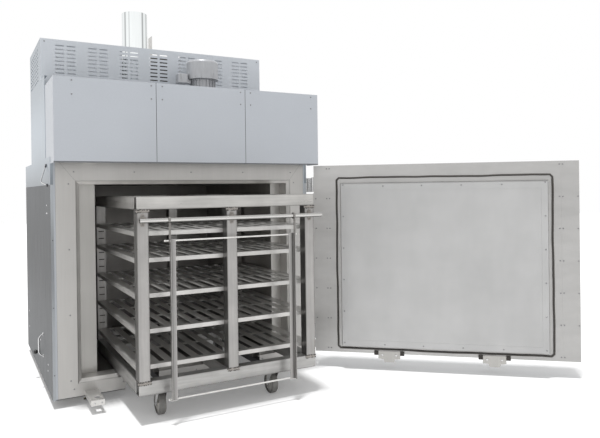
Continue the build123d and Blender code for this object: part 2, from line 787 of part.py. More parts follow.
export_step(lock_keepers.part, "parts/lock_keepers.step")

# Hinge brackets on the right side: wall plate, arm and two knuckles each
hinge_x = right + door_reach + hinge_edge_gap
hinge_y = front - gasket_gap - hinge_inset
arm_low = right + door_reach + 1
arm_high = hinge_x + 3
knuckle_share = 40
hinge_gap = 0.5
with BuildPart() as hinge_brackets:
    for z in hinge_heights:
        low = z - hinge_length / 2
        high = z + hinge_length / 2
        slab((right, right + 8), (front + 12, front + 140), (low, high))
        slab((right + 8, arm_low), (front + 12, front + 30), (low, high))
        slab((arm_low, arm_high), (hinge_y + hinge_knuckle + 5, front + 30), (low, high))
        for start in (low, high - knuckle_share):
            rod(at(hinge_x, hinge_y, start, (0, 0, 1)), hinge_knuckle, knuckle_share)
            slab((arm_low, arm_high), (hinge_y, front + 30), (start, start + knuckle_share))
        rod(at(hinge_x, hinge_y, low - 1, (0, 0, 1)), hinge_pin, hinge_length + 2, mode=Mode.SUBTRACT)
hinge_brackets.part.label = "hinge_brackets"
export_step(hinge_brackets.part, "parts/hinge_brackets.step")

# Hinge pins with their heads
with BuildPart() as hinge_pins:
    for z in hinge_heights:
        low = z - hinge_length / 2
        rod(at(hinge_x, hinge_y, low, (0, 0, 1)), hinge_pin, hinge_length)
        rod(at(hinge_x, hinge_y, low + hinge_length, (0, 0, 1)), hinge_pin + 4, 6)
hinge_pins.part.label = "hinge_pins"
export_step(hinge_pins.part, "parts/hinge_pins.step")

# Screws and bolts of the body
screw_across = 14
screw_height = 4
frame_screws = (
    [(x, 1740) for x in (163, 611, 1071, 1530, 1988)]
    + [(125, z) for z in (190, 676, 1163, 1650)]
    + [(2020, z) for z in (190, 676, 1163, 1650)]
    + [(x, 125) for x in (147, 507, 1093, 1690, 1988)]
)
fascia_screws = [(x, z) for x in (127, 698, 783, 1431, 1519, 2092) for z in (2287, 2386)]
cover_screws = [(x, z) for x in (30, 1915) for z in (1880, 2812)]
side_bolts = [
    (186, 1431), (228, 1431), (207, 1492), (765, 354), (249, 271), (267, 219), (1727, 287), (1727, 438),
]
with BuildPart() as body_screws:
    for face_y, screws in ((front, frame_screws), (fascia_face, fascia_screws), (enclosure_face, cover_screws)):
        face_plane = Plane(origin=(left, face_y, 0), x_dir=(1, 0, 0), z_dir=(0, -1, 0))
        hex_heads(face_plane, screws, screw_across, screw_height)
    side_plane = Plane(origin=(left, front, 0), x_dir=(0, -1, 0), z_dir=(-1, 0, 0))
    hex_heads(side_plane, [(-y, z) for y, z in side_bolts], screw_across + 3, 8)
    keeper_plane = Plane(origin=(left, front - lower_keeper_reach, 0), x_dir=(1, 0, 0), z_dir=(0, -1, 0))
    hex_heads(keeper_plane, [(245, 78), (294, 78)], 19, 8)
    for z in hinge_heights:
        bracket_plane = Plane(origin=(right + 8, front, z), x_dir=(0, 1, 0), z_dir=(1, 0, 0))
        hex_heads(bracket_plane, [(75, -40), (75, 40), (115, 0)], 19, 8)
body_screws.part.label = "body_screws"
export_step(body_screws.part, "parts/body_screws.step")

# Door frame of reference: u runs from the hinge edge, v out of the oven, at the open angle
u_angle = radians(180 + door_open_angle)
u_dir = Vector(cos(u_angle), sin(u_angle), 0)
v_dir = Vector(-sin(u_angle), cos(u_angle), 0)
hinge_axis = Vector(hinge_x, hinge_y, 0)
door_origin = hinge_axis + u_dir * hinge_edge_gap - v_dir * hinge_inset
door = Plane(origin=door_origin, x_dir=u_dir, z_dir=(0, 0, 1))


def door_inside(depth):
    """Plane parallel to the door that faces the oven, at a depth below the inner face."""
    return Plane(origin=door_origin + v_dir * depth, x_dir=u_dir, z_dir=-v_dir)


def door_outside(height):
    """Plane parallel to the door that faces away from the oven."""
    return Plane(origin=door_origin + v_dir * height, x_dir=-u_dir, z_dir=v_dir)


def door_rectangle(plane, u, z, grow=0):
    """Rectangle on a plane of the door between (low, high) pairs, grown all round."""
    with BuildSketch(plane) as outline:
        with Locations(((u[0] + u[1]) / 2, (z[0] + z[1]) / 2)):
            Rectangle(u[1] - u[0] + 2 * grow, z[1] - z[0] + 2 * grow)
    return outline.sketch


def clear_hinges(radius):
    """Room for the knuckles along the door's hinge edge."""
    for z in hinge_heights:
        rod(at(hinge_x, hinge_y, z - hinge_length / 2 - 2, (0, 0, 1)), radius, hinge_length + 10, mode=Mode.SUBTRACT)


door_span = (0, door_width)
door_rise = (door_bottom, door_top)
plug_span = (plug_left, plug_right)
plug_rise = (plug_bottom, plug_top)

# Door skin: a folded tray over the door's outside and its four edges
with BuildPart() as door_skin:
    slab(door_span, (door_sheet + panel_gap, door_thickness), door_rise, frame=door)
    slab(
        (door_sheet, door_width - door_sheet), (0, door_thickness - door_sheet),
        (door_bottom + door_sheet, door_top - door_sheet), mode=Mode.SUBTRACT, frame=door,
    )
    clear_hinges(hinge_knuckle + 1)
door_skin.part.label = "door_skin"
export_step(door_skin.part, "parts/door_skin.step")

# Inner face of the door: two upright strips and the ring sheet between them
strip_left = 131
strip_right = 2081
with BuildPart() as door_edge_strips:
    slab((0, strip_left), (0, door_sheet), door_rise, frame=door)
    slab((strip_right, door_width), (0, door_sheet), door_rise, frame=door)
    slab((strip_left + panel_gap, strip_right - panel_gap), (0, door_sheet), door_rise, frame=door)
    slab(plug_span, (-1, door_sheet + 1), plug_rise, mode=Mode.SUBTRACT, frame=door)
    clear_hinges(hinge_knuckle + 1)
door_edge_strips.part.label = "door_edge_strips"
export_step(door_edge_strips.part, "parts/door_edge_strips.step")

# Door plug: a tapered pan with a raised border, which fills the oven's mouth
plug_taper = 12
border_height = 2
with BuildPart() as door_plug:
    plug_foot = door_rectangle(door_inside(door_sheet), plug_span, plug_rise, -panel_gap)
    plug_face = door_rectangle(door_inside(-plug_height), plug_span, plug_rise, -plug_taper)
    loft([plug_foot, plug_face])
    hollow_foot = door_rectangle(door_inside(door_sheet), plug_span, plug_rise, -door_sheet - panel_gap)
    hollow_face = door_rectangle(
        door_inside(-plug_height + door_sheet), plug_span, plug_rise, -plug_taper - door_sheet,
    )
    loft([hollow_foot, hollow_face], mode=Mode.SUBTRACT)
    extrude(door_rectangle(door_inside(-plug_height), plug_span, plug_rise, -plug_taper), amount=border_height)
    extrude(
        door_rectangle(door_inside(-plug_height), plug_span, plug_rise, -plug_taper - plug_border),
        amount=border_height, mode=Mode.SUBTRACT,
    )
door_plug.part.label = "door_plug"
export_step(door_plug.part, "parts/door_plug.step")

# Door insulation: one slab in the tray and one in the plug
with BuildPart() as door_insulation:
    slab(
        (door_sheet + 16, door_width - door_sheet), (door_sheet, door_thickness - door_sheet),
        (door_bottom + door_sheet, door_top - door_sheet), frame=door,
    )
    extrude(
        door_rectangle(door_inside(door_sheet), plug_span, plug_rise, -plug_taper - door_sheet - panel_gap),
        amount=plug_height,
    )
door_insulation.part.label = "door_insulation"
export_step(door_insulation.part, "parts/door_insulation.step")

# Gasket: a rounded ring of one section, which stops just short of the front frame when shut
gasket_left = 195
gasket_right = 2025
gasket_bottom = 163
gasket_top = 1698
gasket_width = 25
gasket_height = gasket_gap - panel_gap
gasket_round = 7
with BuildPart() as door_gasket:
    gasket_outer = door_rectangle(door_inside(0), (gasket_left, gasket_right), (gasket_bottom, gasket_top))
    gasket_inner = door_rectangle(
        door_inside(0), (gasket_left, gasket_right), (gasket_bottom, gasket_top), -gasket_width,
    )
    extrude(gasket_outer, amount=gasket_height)
    extrude(gasket_inner, amount=gasket_height, mode=Mode.SUBTRACT)
    gasket_front = door_gasket.faces().sort_by(Axis(door_origin, -v_dir))[-1]
    fillet(gasket_front.edges(), gasket_round)
door_gasket.part.label = "door_gasket"
export_step(door_gasket.part, "parts/door_gasket.step")

# Track plates: waisted plates that hang below the door and close the wheel tracks
track_places = tuple(right + door_reach - track for track in tracks)
track_plate = 6
plate_half = 95
plate_waist = 50
plate_top = 160
plate_waist_top = 94
plate_bottom = 64
with BuildPart() as track_plates:
    for u in track_places:
        with BuildSketch(door_inside(0)) as plate_outline:
            with BuildLine():
                Polyline(
                    (u - plate_half, plate_top), (u + plate_half, plate_top),
                    (u + plate_half, plate_waist_top), (u + plate_waist, plate_waist_top - 4),
                    (u + plate_waist - 8, plate_bottom), (u - plate_waist + 8, plate_bottom),
                    (u - plate_waist, plate_waist_top - 4), (u - plate_half, plate_waist_top), close=True,
                )
            make_face()
        extrude(plate_outline.sketch, amount=track_plate)
track_plates.part.label = "track_plates"
export_step(track_plates.part, "parts/track_plates.step")

# Rubber blocks on both sides of each track plate
seal_half = track_width / 2 - 2
with BuildPart() as track_seals:
    for u in track_places:
        for low, high in ((u - seal_half, u - plate_half - panel_gap), (u + plate_half + panel_gap, u + seal_half)):
            slab((low, high), (-gasket_height, 0), (plate_waist_top, gasket_bottom - panel_gap), frame=door)
track_seals.part.label = "track_seals"
export_step(track_seals.part, "parts/track_seals.step")

# Hinge leaves on the door's edge, each with the middle knuckle round the pin
leaf_sheet = 6
leaf_start = hinge_inset + hinge_knuckle + 4
with BuildPart() as hinge_leaves:
    for z in hinge_heights:
        low = z - hinge_length / 2 + knuckle_share + hinge_gap
        high = z + hinge_length / 2 - knuckle_share - hinge_gap
        rod(at(hinge_x, hinge_y, low, (0, 0, 1)), hinge_knuckle, high - low)
        slab((-leaf_sheet, 0), (hinge_inset, leaf_start), (low, high), frame=door)
        slab((-leaf_sheet, 0), (leaf_start, door_thickness - 20), (z - 56, z + 56), frame=door)
        rod(at(hinge_x, hinge_y, low - 1, (0, 0, 1)), hinge_pin + running_gap, high - low + 2, mode=Mode.SUBTRACT)
hinge_leaves.part.label = "hinge_leaves"
export_step(hinge_leaves.part, "parts/hinge_leaves.step")

# Lock case and rod guides on the door's outside
rod_clearance = 0.1
rod_v = door_thickness + rod_standoff
guide_heights = (door_bottom + 60, lock_height - 300, lock_height + 300, door_top - 60)
case_half = 65
case_depth = 40
with BuildPart() as rod_guides:
    for z in guide_heights:
        slab((rod_place - 32, rod_place + 32), (door_thickness, door_thickness + 24), (z - 15, z + 15), frame=door)
    slab(
        (rod_place - 45, rod_place + 45), (door_thickness, door_thickness + case_depth),
        (lock_height - case_half, lock_height + case_half), frame=door,
    )
    rod_line = door_origin + u_dir * rod_place + v_dir * rod_v
    rod(
        Plane(origin=(rod_line.X, rod_line.Y, door_bottom), z_dir=(0, 0, 1)),
        rod_radius + rod_clearance, door_top - door_bottom, mode=Mode.SUBTRACT,
    )
    spindle_point = door_origin + u_dir * rod_place + v_dir * (door_thickness + 22)
    spindle_line = Plane(origin=(spindle_point.X, spindle_point.Y, lock_height), x_dir=-u_dir, z_dir=v_dir)
    rod(spindle_line, 9 + rod_clearance, case_depth, mode=Mode.SUBTRACT)
rod_guides.part.label = "rod_guides"
export_step(rod_guides.part, "parts/rod_guides.step")

# Lock rods: the upper one shoots upwards, the lower one downwards
rod_gap = 80
for name, low, high in (
    ("lock_rod_upper", lock_height + rod_gap - 60, door_top - 2),
    ("lock_rod_lower", door_bottom + 3, lock_height - rod_gap + 60),
):
    with BuildPart() as lock_rod:
        rod(Plane(origin=(rod_line.X, rod_line.Y, low), z_dir=(0, 0, 1)), rod_radius, high - low)
    lock_rod.part.label = name
    export_step(lock_rod.part, "parts/" + name + ".step")

# Lock handle: a spindle in the case and a tapered lever
lever_reach = 230
with BuildPart() as lock_handle:
    rod(spindle_line, 9, 30)
    rod(spindle_line.offset(case_depth - 21), 19, 22)
    with BuildSketch(spindle_line.offset(case_depth - 13)) as lever_outline:
        with BuildLine():
            Polyline((0, 15), (lever_reach, 10), (lever_reach, -10), (0, -15), close=True)
        make_face()
        with Locations((lever_reach, 0)):
            Circle(12)
    extrude(lever_outline.sketch, amount=12)
lock_handle.part.label = "lock_handle"
export_step(lock_handle.part, "parts/lock_handle.step")

# Screws of the door's inner face
strip_rows = [z for z in (171, 437, 703, 970, 1237, 1503, 1769)]
edge_rows = strip_rows[1:6]
border_rows = (233, 511, 789, 1066, 1344, 1622)
border_columns = (622, 951, 1280, 1608)
door_screw_height = 3
strip_pair = 13
strip_screws = [(u, z) for u in (strip_left - strip_pair, strip_left + strip_pair) for z in strip_rows]
strip_screws += [(u, z) for u in (strip_right - strip_pair, strip_right + strip_pair) for z in strip_rows]
strip_screws += [(u, z) for u in (19, door_width - 11) for z in edge_rows]
border_screws = [(u, z) for u in (plug_left + 32, plug_right - 32) for z in border_rows]
border_screws += [(u, z) for u in border_columns for z in (plug_bottom + 32, plug_top - 32)]
plate_screws = [(u + du, 128) for u in track_places for du in (-60, 60)]
with BuildPart() as door_screws:
    hex_heads(door_inside(0), strip_screws, 12, door_screw_height)
    hex_heads(door_inside(-plug_height - border_height), border_screws, 12, door_screw_height)
    hex_heads(door_inside(-track_plate), plate_screws, 17, 6)
door_screws.part.label = "door_screws"
export_step(door_screws.part, "parts/door_screws.step")

# Trolley frame of reference at rest
cart_left = left + cart_left_gap
cart_front = front - cart_out
cart_back = cart_front + cart_length
post_columns = [cart_left + i * cart_column_pitch for i in range(3)]
cart_right = post_columns[-1] + post_size
base_top_z = castor_height + base_beam
top_bottom_z = cart_top - top_beam
front_post_back = cart_front + post_size
rear_post_front = cart_back - post_size
cross_beam = 100


def box_tube(x, y, z, along):
    """Rectangular tube between (low, high) pairs, open at both ends."""
    slab(x, y, z)
    hollow = []
    for name, (low, high) in zip("xyz", (x, y, z)):
        wall = 0 if name == along else post_wall
        hollow.append((low + wall, high - wall))
    slab(*hollow, mode=Mode.SUBTRACT)


def ladder_frame(z):
    """Front and rear beams with three long beams between them."""
    for y in ((cart_front, front_post_back), (rear_post_front, cart_back)):
        box_tube((cart_left, cart_right), y, z, "x")
    for x in post_columns:
        box_tube((x, x + post_size), (front_post_back + panel_gap, rear_post_front - panel_gap), z, "y")


# Bottom frame with the cross beams that carry the castors
front_castor_y = cart_front + front_castor_depth
rear_castor_y = cart_front + rear_castor_depth
with BuildPart() as cart_base:
    ladder_frame((castor_height, base_top_z))
    for y in (front_castor_y, rear_castor_y):
        for x in post_columns[:2]:
            cross = (x + post_size + panel_gap, x + cart_column_pitch - panel_gap)
            low = max(y - cross_beam / 2, front_post_back + panel_gap)
            box_tube(cross, (low, low + cross_beam), (castor_height, castor_height + 60), "x")
cart_base.part.label = "cart_base"
export_step(cart_base.part, "parts/cart_base.step")

# Top frame, the same ladder on the posts
with BuildPart() as cart_top_frame:
    ladder_frame((top_bottom_z, cart_top))
cart_top_frame.part.label = "cart_top_frame"
export_step(cart_top_frame.part, "parts/cart_top_frame.step")

# Front posts: plain square tubes
with BuildPart() as cart_front_posts:
    for x in post_columns:
        box_tube((x, x + post_size), (cart_front, front_post_back), (base_top_z, top_bottom_z), "z")
cart_front_posts.part.label = "cart_front_posts"
export_step(cart_front_posts.part, "parts/cart_front_posts.step")

# Rear posts: square tubes with a column of shelf slots in their inner face
post_slot_middle = post_slot_first + (post_slots - 1) * post_slot_pitch / 2
with BuildPart() as cart_rear_posts:
    for x in post_columns:
        box_tube((x, x + post_size), (rear_post_front, cart_back), (base_top_z, top_bottom_z), "z")
    slot_plane = Plane(origin=(0, rear_post_front - 1, 0), x_dir=(-1, 0, 0), z_dir=(0, 1, 0))
    with BuildSketch(slot_plane) as post_slot_grid:
        for x in post_columns:
            with Locations((-x - post_size / 2, post_slot_middle)):
                with GridLocations(1, post_slot_pitch, 1, post_slots):
                    Rectangle(post_slot_width, post_slot_height)
    extrude(post_slot_grid.sketch, amount=post_wall + 2, mode=Mode.SUBTRACT)
cart_rear_posts.part.label = "cart_rear_posts"
export_step(cart_rear_posts.part, "parts/cart_rear_posts.step")

# Shelves: slotted sheets with a rim turned down and tabs that hook into the rear posts
shelf_slot_columns = 3
shelf_slot_rows = 13
shelf_slot_pitch = 98
shelf_slot_width = 40
shelf_slot_length = 380
shelf_tab = 40
shelf_span = (cart_left + shelf_side_gap, cart_right - shelf_side_gap)
shelf_depth = (front_post_back + panel_gap, rear_post_front - panel_gap)
shelf_centre = ((shelf_span[0] + shelf_span[1]) / 2, (shelf_depth[0] + shelf_depth[1]) / 2)
with BuildPart() as shelves:
    for level in shelf_levels:
        slot_z = post_slot_first + level * post_slot_pitch
        top_z = slot_z + shelf_rise
        slab(shelf_span, shelf_depth, (top_z - shelf_rim, top_z))
        slab(
            (shelf_span[0] + shelf_sheet, shelf_span[1] - shelf_sheet),
            (shelf_depth[0] + shelf_sheet, shelf_depth[1] - shelf_sheet),
            (top_z - shelf_rim, top_z - shelf_sheet), mode=Mode.SUBTRACT,
        )
        with BuildSketch(Plane.XY.offset(top_z - shelf_sheet)) as shelf_slots:
            with Locations(shelf_centre):
                with GridLocations(shelf_slot_pitch, shelf_slot_length + 40, shelf_slot_rows, shelf_slot_columns):
                    Rectangle(shelf_slot_width, shelf_slot_length)
        extrude(shelf_slots.sketch, amount=shelf_sheet, mode=Mode.SUBTRACT)
        for x in post_columns:
            slab(
                (x + (post_size - shelf_tab) / 2, x + (post_size + shelf_tab) / 2),
                (shelf_depth[1] - shelf_sheet, rear_post_front + post_wall + 6),
                (slot_z - post_slot_height / 2 + panel_gap, slot_z + 1),
            )
shelves.part.label = "shelves"
export_step(shelves.part, "parts/shelves.step")

# Push rail: a round tube on three brackets along the front posts
rail_y = cart_front - rail_forward
rail_overhang = 32
bracket_height = 67
bracket_width = 50
bracket_plate = 6
with BuildPart() as push_rail:
    rail_left = cart_left + shelf_side_gap
    rod(at(rail_left, rail_y, rail_z, (1, 0, 0)), rail_radius, cart_right + rail_overhang - rail_left)
    for x in post_columns:
        middle = x + post_size / 2
        slab(
            (middle - bracket_width / 2, middle + bracket_width / 2), (cart_front - bracket_plate, cart_front),
            (rail_z - bracket_height / 2, rail_z + bracket_height / 2),
        )
        slab((middle - 10, middle + 10), (rail_y, cart_front - bracket_plate), (rail_z - 10, rail_z + 10))
push_rail.part.label = "push_rail"
export_step(push_rail.part, "parts/push_rail.step")

# Drawbar: two flat bars and two cross rods, hung on the push rail by looped straps
bar_left = left + 682
bar_right = left + 1595
strap_left = left + 665
strap_right = left + 1627
bar_width = 46
bar_thickness = 6
bar_top = 1267
bar_bottom = 166
strap_width = 40
strap_wall = 5
strap_clearance = 0.1
cross_rod = 6
cross_rod_top = 1250
cross_rod_bottom = 172
strap_front = rail_y - rail_radius - strap_clearance - strap_wall
with BuildPart() as drawbar:
    for x in (strap_left, strap_right):
        tube_ring(
            at(x - strap_width / 2, rail_y, rail_z, (1, 0, 0)),
            rail_radius + strap_clearance + strap_wall, strap_wall, strap_width,
        )
        slab(
            (x - strap_width / 2, x + strap_width / 2), (strap_front, strap_front + strap_wall),
            (cross_rod_top - 15, rail_z),
        )
    for x in (bar_left, bar_right):
        slab(
            (x - bar_width / 2, x + bar_width / 2), (strap_front - bar_thickness, strap_front),
            (bar_bottom, bar_top),
        )
        slab(
            (x - bar_width / 2 - 6, x + bar_width / 2 + 6), (strap_front, strap_front + 2 * cross_rod + 4),
            (cross_rod_bottom - 11, cross_rod_bottom + 11),
        )
    for z in (cross_rod_top, cross_rod_bottom):
        rod(
            at(strap_left - 35, strap_front + cross_rod, z, (1, 0, 0)), cross_rod, strap_right - strap_left + 70,
        )
drawbar.part.label = "drawbar"
export_step(drawbar.part, "parts/drawbar.step")

# Castors: head plates, forks, axles and wheels
plate_thickness = 8
race_radius = 38
race_height = 14
kingpin = 6
axle = 6
fork_gap = 28
fork_sheet = 4
crown = 6
head_bottom = castor_height - plate_thickness
race_bottom = head_bottom - race_height


def fork_sides(x, pivot_y, wheel_y, top):
    """Both legs of a fork with the axle between them."""
    with BuildSketch(Plane(origin=(x - fork_gap - fork_sheet, 0, 0), x_dir=(0, 1, 0), z_dir=(1, 0, 0))) as leg:
        with BuildLine():
            Polyline(
                (pivot_y - 34, top), (pivot_y + 34, top), (wheel_y + 17, wheel_radius),
                (wheel_y - 17, wheel_radius), close=True,
            )
        make_face()
        with Locations((wheel_y, wheel_radius)):
            Circle(17)
    extrude(leg.sketch, amount=fork_sheet)
    extrude(leg.sketch.translate((2 * fork_gap + fork_sheet, 0, 0)), amount=fork_sheet)
    rod(
        at(x - fork_gap - fork_sheet - 6, wheel_y, wheel_radius, (1, 0, 0)), axle,
        2 * (fork_gap + fork_sheet + 6),
    )


with BuildPart() as castor_heads:
    for x in tracks:
        slab((x - 52, x + 52), (front_castor_y - 43, front_castor_y + 43), (head_bottom, castor_height))
        rod(at(x, front_castor_y, race_bottom, (0, 0, 1)), race_radius, race_height)
        rod(
            at(x, front_castor_y, race_bottom, (0, 0, 1)), kingpin + running_gap, race_height + 4,
            mode=Mode.SUBTRACT,
        )
castor_heads.part.label = "castor_heads"
export_step(castor_heads.part, "parts/castor_heads.step")

with BuildPart() as rear_castor_forks:
    for x in tracks:
        slab((x - 52, x + 52), (rear_castor_y - 43, rear_castor_y + 43), (head_bottom, castor_height))
        fork_sides(x, rear_castor_y, rear_castor_y, head_bottom)
rear_castor_forks.part.label = "rear_castor_forks"
export_step(rear_castor_forks.part, "parts/rear_castor_forks.step")

front_wheel_y = front_castor_y + castor_trail
for name, x in (("castor_fork_left", tracks[0]), ("castor_fork_right", tracks[1])):
    with BuildPart() as castor_fork:
        crown_top = race_bottom - panel_gap
        rod(at(x, front_castor_y, crown_top - crown, (0, 0, 1)), race_radius - 2, crown)
        rod(at(x, front_castor_y, crown_top, (0, 0, 1)), kingpin, race_height)
        fork_sides(x, front_castor_y, front_wheel_y, crown_top - crown)
    castor_fork.part.label = name
    export_step(castor_fork.part, "parts/" + name + ".step")

# Wheels: a tyre with rounded shoulders, recessed discs and a hub with a plain bore
tyre_depth = 16
hub_radius = 20
disc_recess = 8
for name, x, y in (
    ("wheel_front_left", tracks[0], front_wheel_y),
    ("wheel_front_right", tracks[1], front_wheel_y),
    ("wheel_rear_left", tracks[0], rear_castor_y),
    ("wheel_rear_right", tracks[1], rear_castor_y),
):
    half = wheel_width / 2
    rim = wheel_radius - tyre_depth
    with BuildPart() as wheel:
        with BuildSketch(Plane(origin=(x, y, wheel_radius), x_dir=(1, 0, 0), z_dir=(0, -1, 0))) as wheel_profile:
            with BuildLine():
                Polyline(
                    (-half, axle + running_gap), (half, axle + running_gap), (half, hub_radius),
                    (half - disc_recess, hub_radius), (half - disc_recess, rim), (half, rim),
                    (half, wheel_radius - 6), (half - 6, wheel_radius), (-half + 6, wheel_radius),
                    (-half, wheel_radius - 6), (-half, rim), (-half + disc_recess, rim),
                    (-half + disc_recess, hub_radius), (-half, hub_radius), close=True,
                )
            make_face()
        revolve(wheel_profile.sketch, axis=Axis((x, y, wheel_radius), (1, 0, 0)))
    wheel.part.label = name
    export_step(wheel.part, "parts/" + name + ".step")
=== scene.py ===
# %% [markdown]
# A walk-in drying oven with its door open and its trolley half out, drawn in the frame of the CAD model.
# The model's pieces already have their shape and place, so this script gives them finishes, adds the small
# things that a CAD model leaves out, and sets up the floor, the light and the camera.

import json
from math import cos, pi, radians, sin
from random import Random

import bmesh
import bpy
from mathutils import Matrix, Vector


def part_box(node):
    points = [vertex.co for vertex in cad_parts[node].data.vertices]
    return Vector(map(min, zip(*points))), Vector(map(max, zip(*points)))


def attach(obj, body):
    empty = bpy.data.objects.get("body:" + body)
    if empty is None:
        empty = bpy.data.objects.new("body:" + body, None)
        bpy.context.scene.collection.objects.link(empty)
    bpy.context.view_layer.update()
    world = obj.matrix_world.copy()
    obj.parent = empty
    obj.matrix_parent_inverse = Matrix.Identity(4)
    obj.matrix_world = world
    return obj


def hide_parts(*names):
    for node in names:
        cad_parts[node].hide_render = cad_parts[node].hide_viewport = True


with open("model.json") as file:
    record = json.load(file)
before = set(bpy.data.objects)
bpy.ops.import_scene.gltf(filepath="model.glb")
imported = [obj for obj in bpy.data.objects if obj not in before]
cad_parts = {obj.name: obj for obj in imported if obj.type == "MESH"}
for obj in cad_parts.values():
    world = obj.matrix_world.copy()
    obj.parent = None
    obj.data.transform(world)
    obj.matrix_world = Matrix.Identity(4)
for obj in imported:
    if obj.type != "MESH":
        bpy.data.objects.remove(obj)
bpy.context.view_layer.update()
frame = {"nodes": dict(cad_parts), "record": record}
nodes = frame["nodes"]
body_lists = frame["record"]["behaviour"]["bodies"]
node_body = {node: body for body, names in body_lists.items() for node in names}


def box_corners(name):
    """The low and high corners of a node's box."""
    low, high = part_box(name)
    return Vector(low), Vector(high)


# %% [markdown]
# Every finish is a small node tree. Real sheet metal is never one flat tone: it has a fine grain, wide soft
# clouds where it was wiped or rolled, and smears that run one way. `noise_layer` makes one such layer in
# object coordinates, and `finish` multiplies the layers into the colour and adds the grain to the
# roughness.

# %% A finish from layers of noise
relief_depth = 0.0005


def noise_layer(tree, stretch, detail=5.0):
    """A noise in object coordinates, stretched by a scale along each axis."""
    place = tree.nodes.new("ShaderNodeTexCoord")
    scale = tree.nodes.new("ShaderNodeMapping")
    scale.inputs["Scale"].default_value = stretch
    tree.links.new(place.outputs["Object"], scale.inputs["Vector"])
    noise = tree.nodes.new("ShaderNodeTexNoise")
    noise.inputs["Scale"].default_value = 1.0
    noise.inputs["Detail"].default_value = detail
    noise.inputs["Roughness"].default_value = 0.6
    tree.links.new(scale.outputs["Vector"], noise.inputs["Vector"])
    return noise.outputs["Fac"]


def spread(tree, value, low, high):
    """The middle of a noise's range stretched to run from low to high."""
    node = tree.nodes.new("ShaderNodeMapRange")
    node.inputs["From Min"].default_value = 0.3
    node.inputs["From Max"].default_value = 0.7
    node.inputs["To Min"].default_value = low
    node.inputs["To Max"].default_value = high
    tree.links.new(value, node.inputs["Value"])
    return node.outputs["Result"]


def maths(tree, operation, first, second=None, third=None):
    """A Math node whose inputs are sockets or numbers."""
    node = tree.nodes.new("ShaderNodeMath")
    node.operation = operation
    for socket, value in zip(node.inputs, (first, second, third)):
        if value is None:
            continue
        if isinstance(value, (int, float)):
            socket.default_value = value
        else:
            tree.links.new(value, socket)
    return node.outputs[0]


def finish(name, colour, roughness, metallic=0.0, grain=(3, 3, 3), contrast=0.08, rough_spread=0.1,
           clouds=0.0, cloud_size=(1.4, 1.4, 1.4), smears=0.0, smear_size=(9, 9, 0.9),
           bump=0.0, bump_size=(60, 60, 60), anisotropic=0.0, coat=0.0):
    """A material whose colour and roughness are varied by grain, clouds and smears."""
    made = bpy.data.materials.new(name)
    made.use_nodes = True
    tree = made.node_tree
    shader = tree.nodes["Principled BSDF"]
    fine = noise_layer(tree, grain)
    factor = spread(tree, fine, 1 - contrast, 1 + contrast)
    for amount, size in ((clouds, cloud_size), (smears, smear_size)):
        if amount:
            layer = spread(tree, noise_layer(tree, size, 3.0), 1 - amount, 1 + amount)
            factor = maths(tree, "MULTIPLY", factor, layer)
    tint = tree.nodes.new("ShaderNodeVectorMath")
    tint.operation = "SCALE"
    tint.inputs[0].default_value = colour
    tree.links.new(factor, tint.inputs["Scale"])
    tree.links.new(tint.outputs["Vector"], shader.inputs["Base Color"])
    rough = spread(tree, fine, max(0.05, roughness - rough_spread), min(1.0, roughness + rough_spread))
    tree.links.new(rough, shader.inputs["Roughness"])
    shader.inputs["Metallic"].default_value = metallic
    shader.inputs["Anisotropic"].default_value = anisotropic
    shader.inputs["Coat Weight"].default_value = coat
    if bump:
        relief = tree.nodes.new("ShaderNodeBump")
        relief.inputs["Strength"].default_value = bump
        relief.inputs["Distance"].default_value = relief_depth
        tree.links.new(noise_layer(tree, bump_size, 3.0), relief.inputs["Height"])
        tree.links.new(relief.outputs["Normal"], shader.inputs["Normal"])
    return made


# %% [markdown]
# The oven is painted a light blue grey outside, with a darker lower side panel of bare sheet. The front
# frame and the door's inner face are brushed stainless steel, the chamber is dull sheet, and the trolley is
# bare steel with rolling marks along its tubes. Brushed steel gets a grain that is stretched along the
# brushing.

# %% The finishes of the object
upright = (160, 160, 3)
light_paint = finish(
    "light_paint", (0.535, 0.564, 0.607), 0.42, grain=(90, 90, 90), contrast=0.02, clouds=0.02, bump=0.15,
    bump_size=(500, 500, 500), coat=0.15,
)
# The enclosure has the fascia's paint; this brighter copy of it is painted light.
lit_cover_paint = finish(
    "lit_cover_paint", (0.69, 0.727, 0.775), 0.42, grain=(90, 90, 90), contrast=0.02, clouds=0.03, bump=0.15,
    bump_size=(500, 500, 500), coat=0.15,
)
side_paint = finish(
    "side_paint", (0.50, 0.56, 0.62), 0.38, grain=(90, 90, 90), contrast=0.02, clouds=0.02, rough_spread=0.04,
    bump=0.1, bump_size=(500, 500, 500), coat=0.1,
)
# Its dark grey is partly the bare sheet's own colour and partly a painted reflection of the dark room.
side_steel = finish(
    "side_steel", (0.093, 0.098, 0.103), 0.55, 0.2, grain=upright, contrast=0.03, clouds=0.08,
    cloud_size=(1.5, 1.5, 1.2), smears=0.05, smear_size=(7, 4, 0.6), bump=0.05, bump_size=upright,
)
grey_paint = finish(
    "grey_paint", (0.30, 0.32, 0.34), 0.45, grain=(90, 90, 90), contrast=0.03, clouds=0.04, coat=0.1,
)
dark_paint = finish("dark_paint", (0.06, 0.06, 0.065), 0.5, grain=(60, 60, 60), contrast=0.15)
motor_paint = finish(
    "motor_paint", (0.49, 0.50, 0.52), 0.35, 0.3, grain=(40, 40, 6), contrast=0.12, clouds=0.05,
)
stainless = finish(
    "stainless", (0.47, 0.46, 0.44), 0.38, 0.7, upright, 0.03, 0.05, clouds=0.05, smears=0.04,
    bump=0.08, bump_size=upright, anisotropic=0.3,
)
door_steel = finish(
    "door_steel", (0.56, 0.553, 0.543), 0.38, 0.75, (7, 7, 1.5), 0.01, 0.012, clouds=0.06,
    cloud_size=(1.6, 1.6, 3.2), smears=0.06, smear_size=(2.5, 2.5, 7),
)
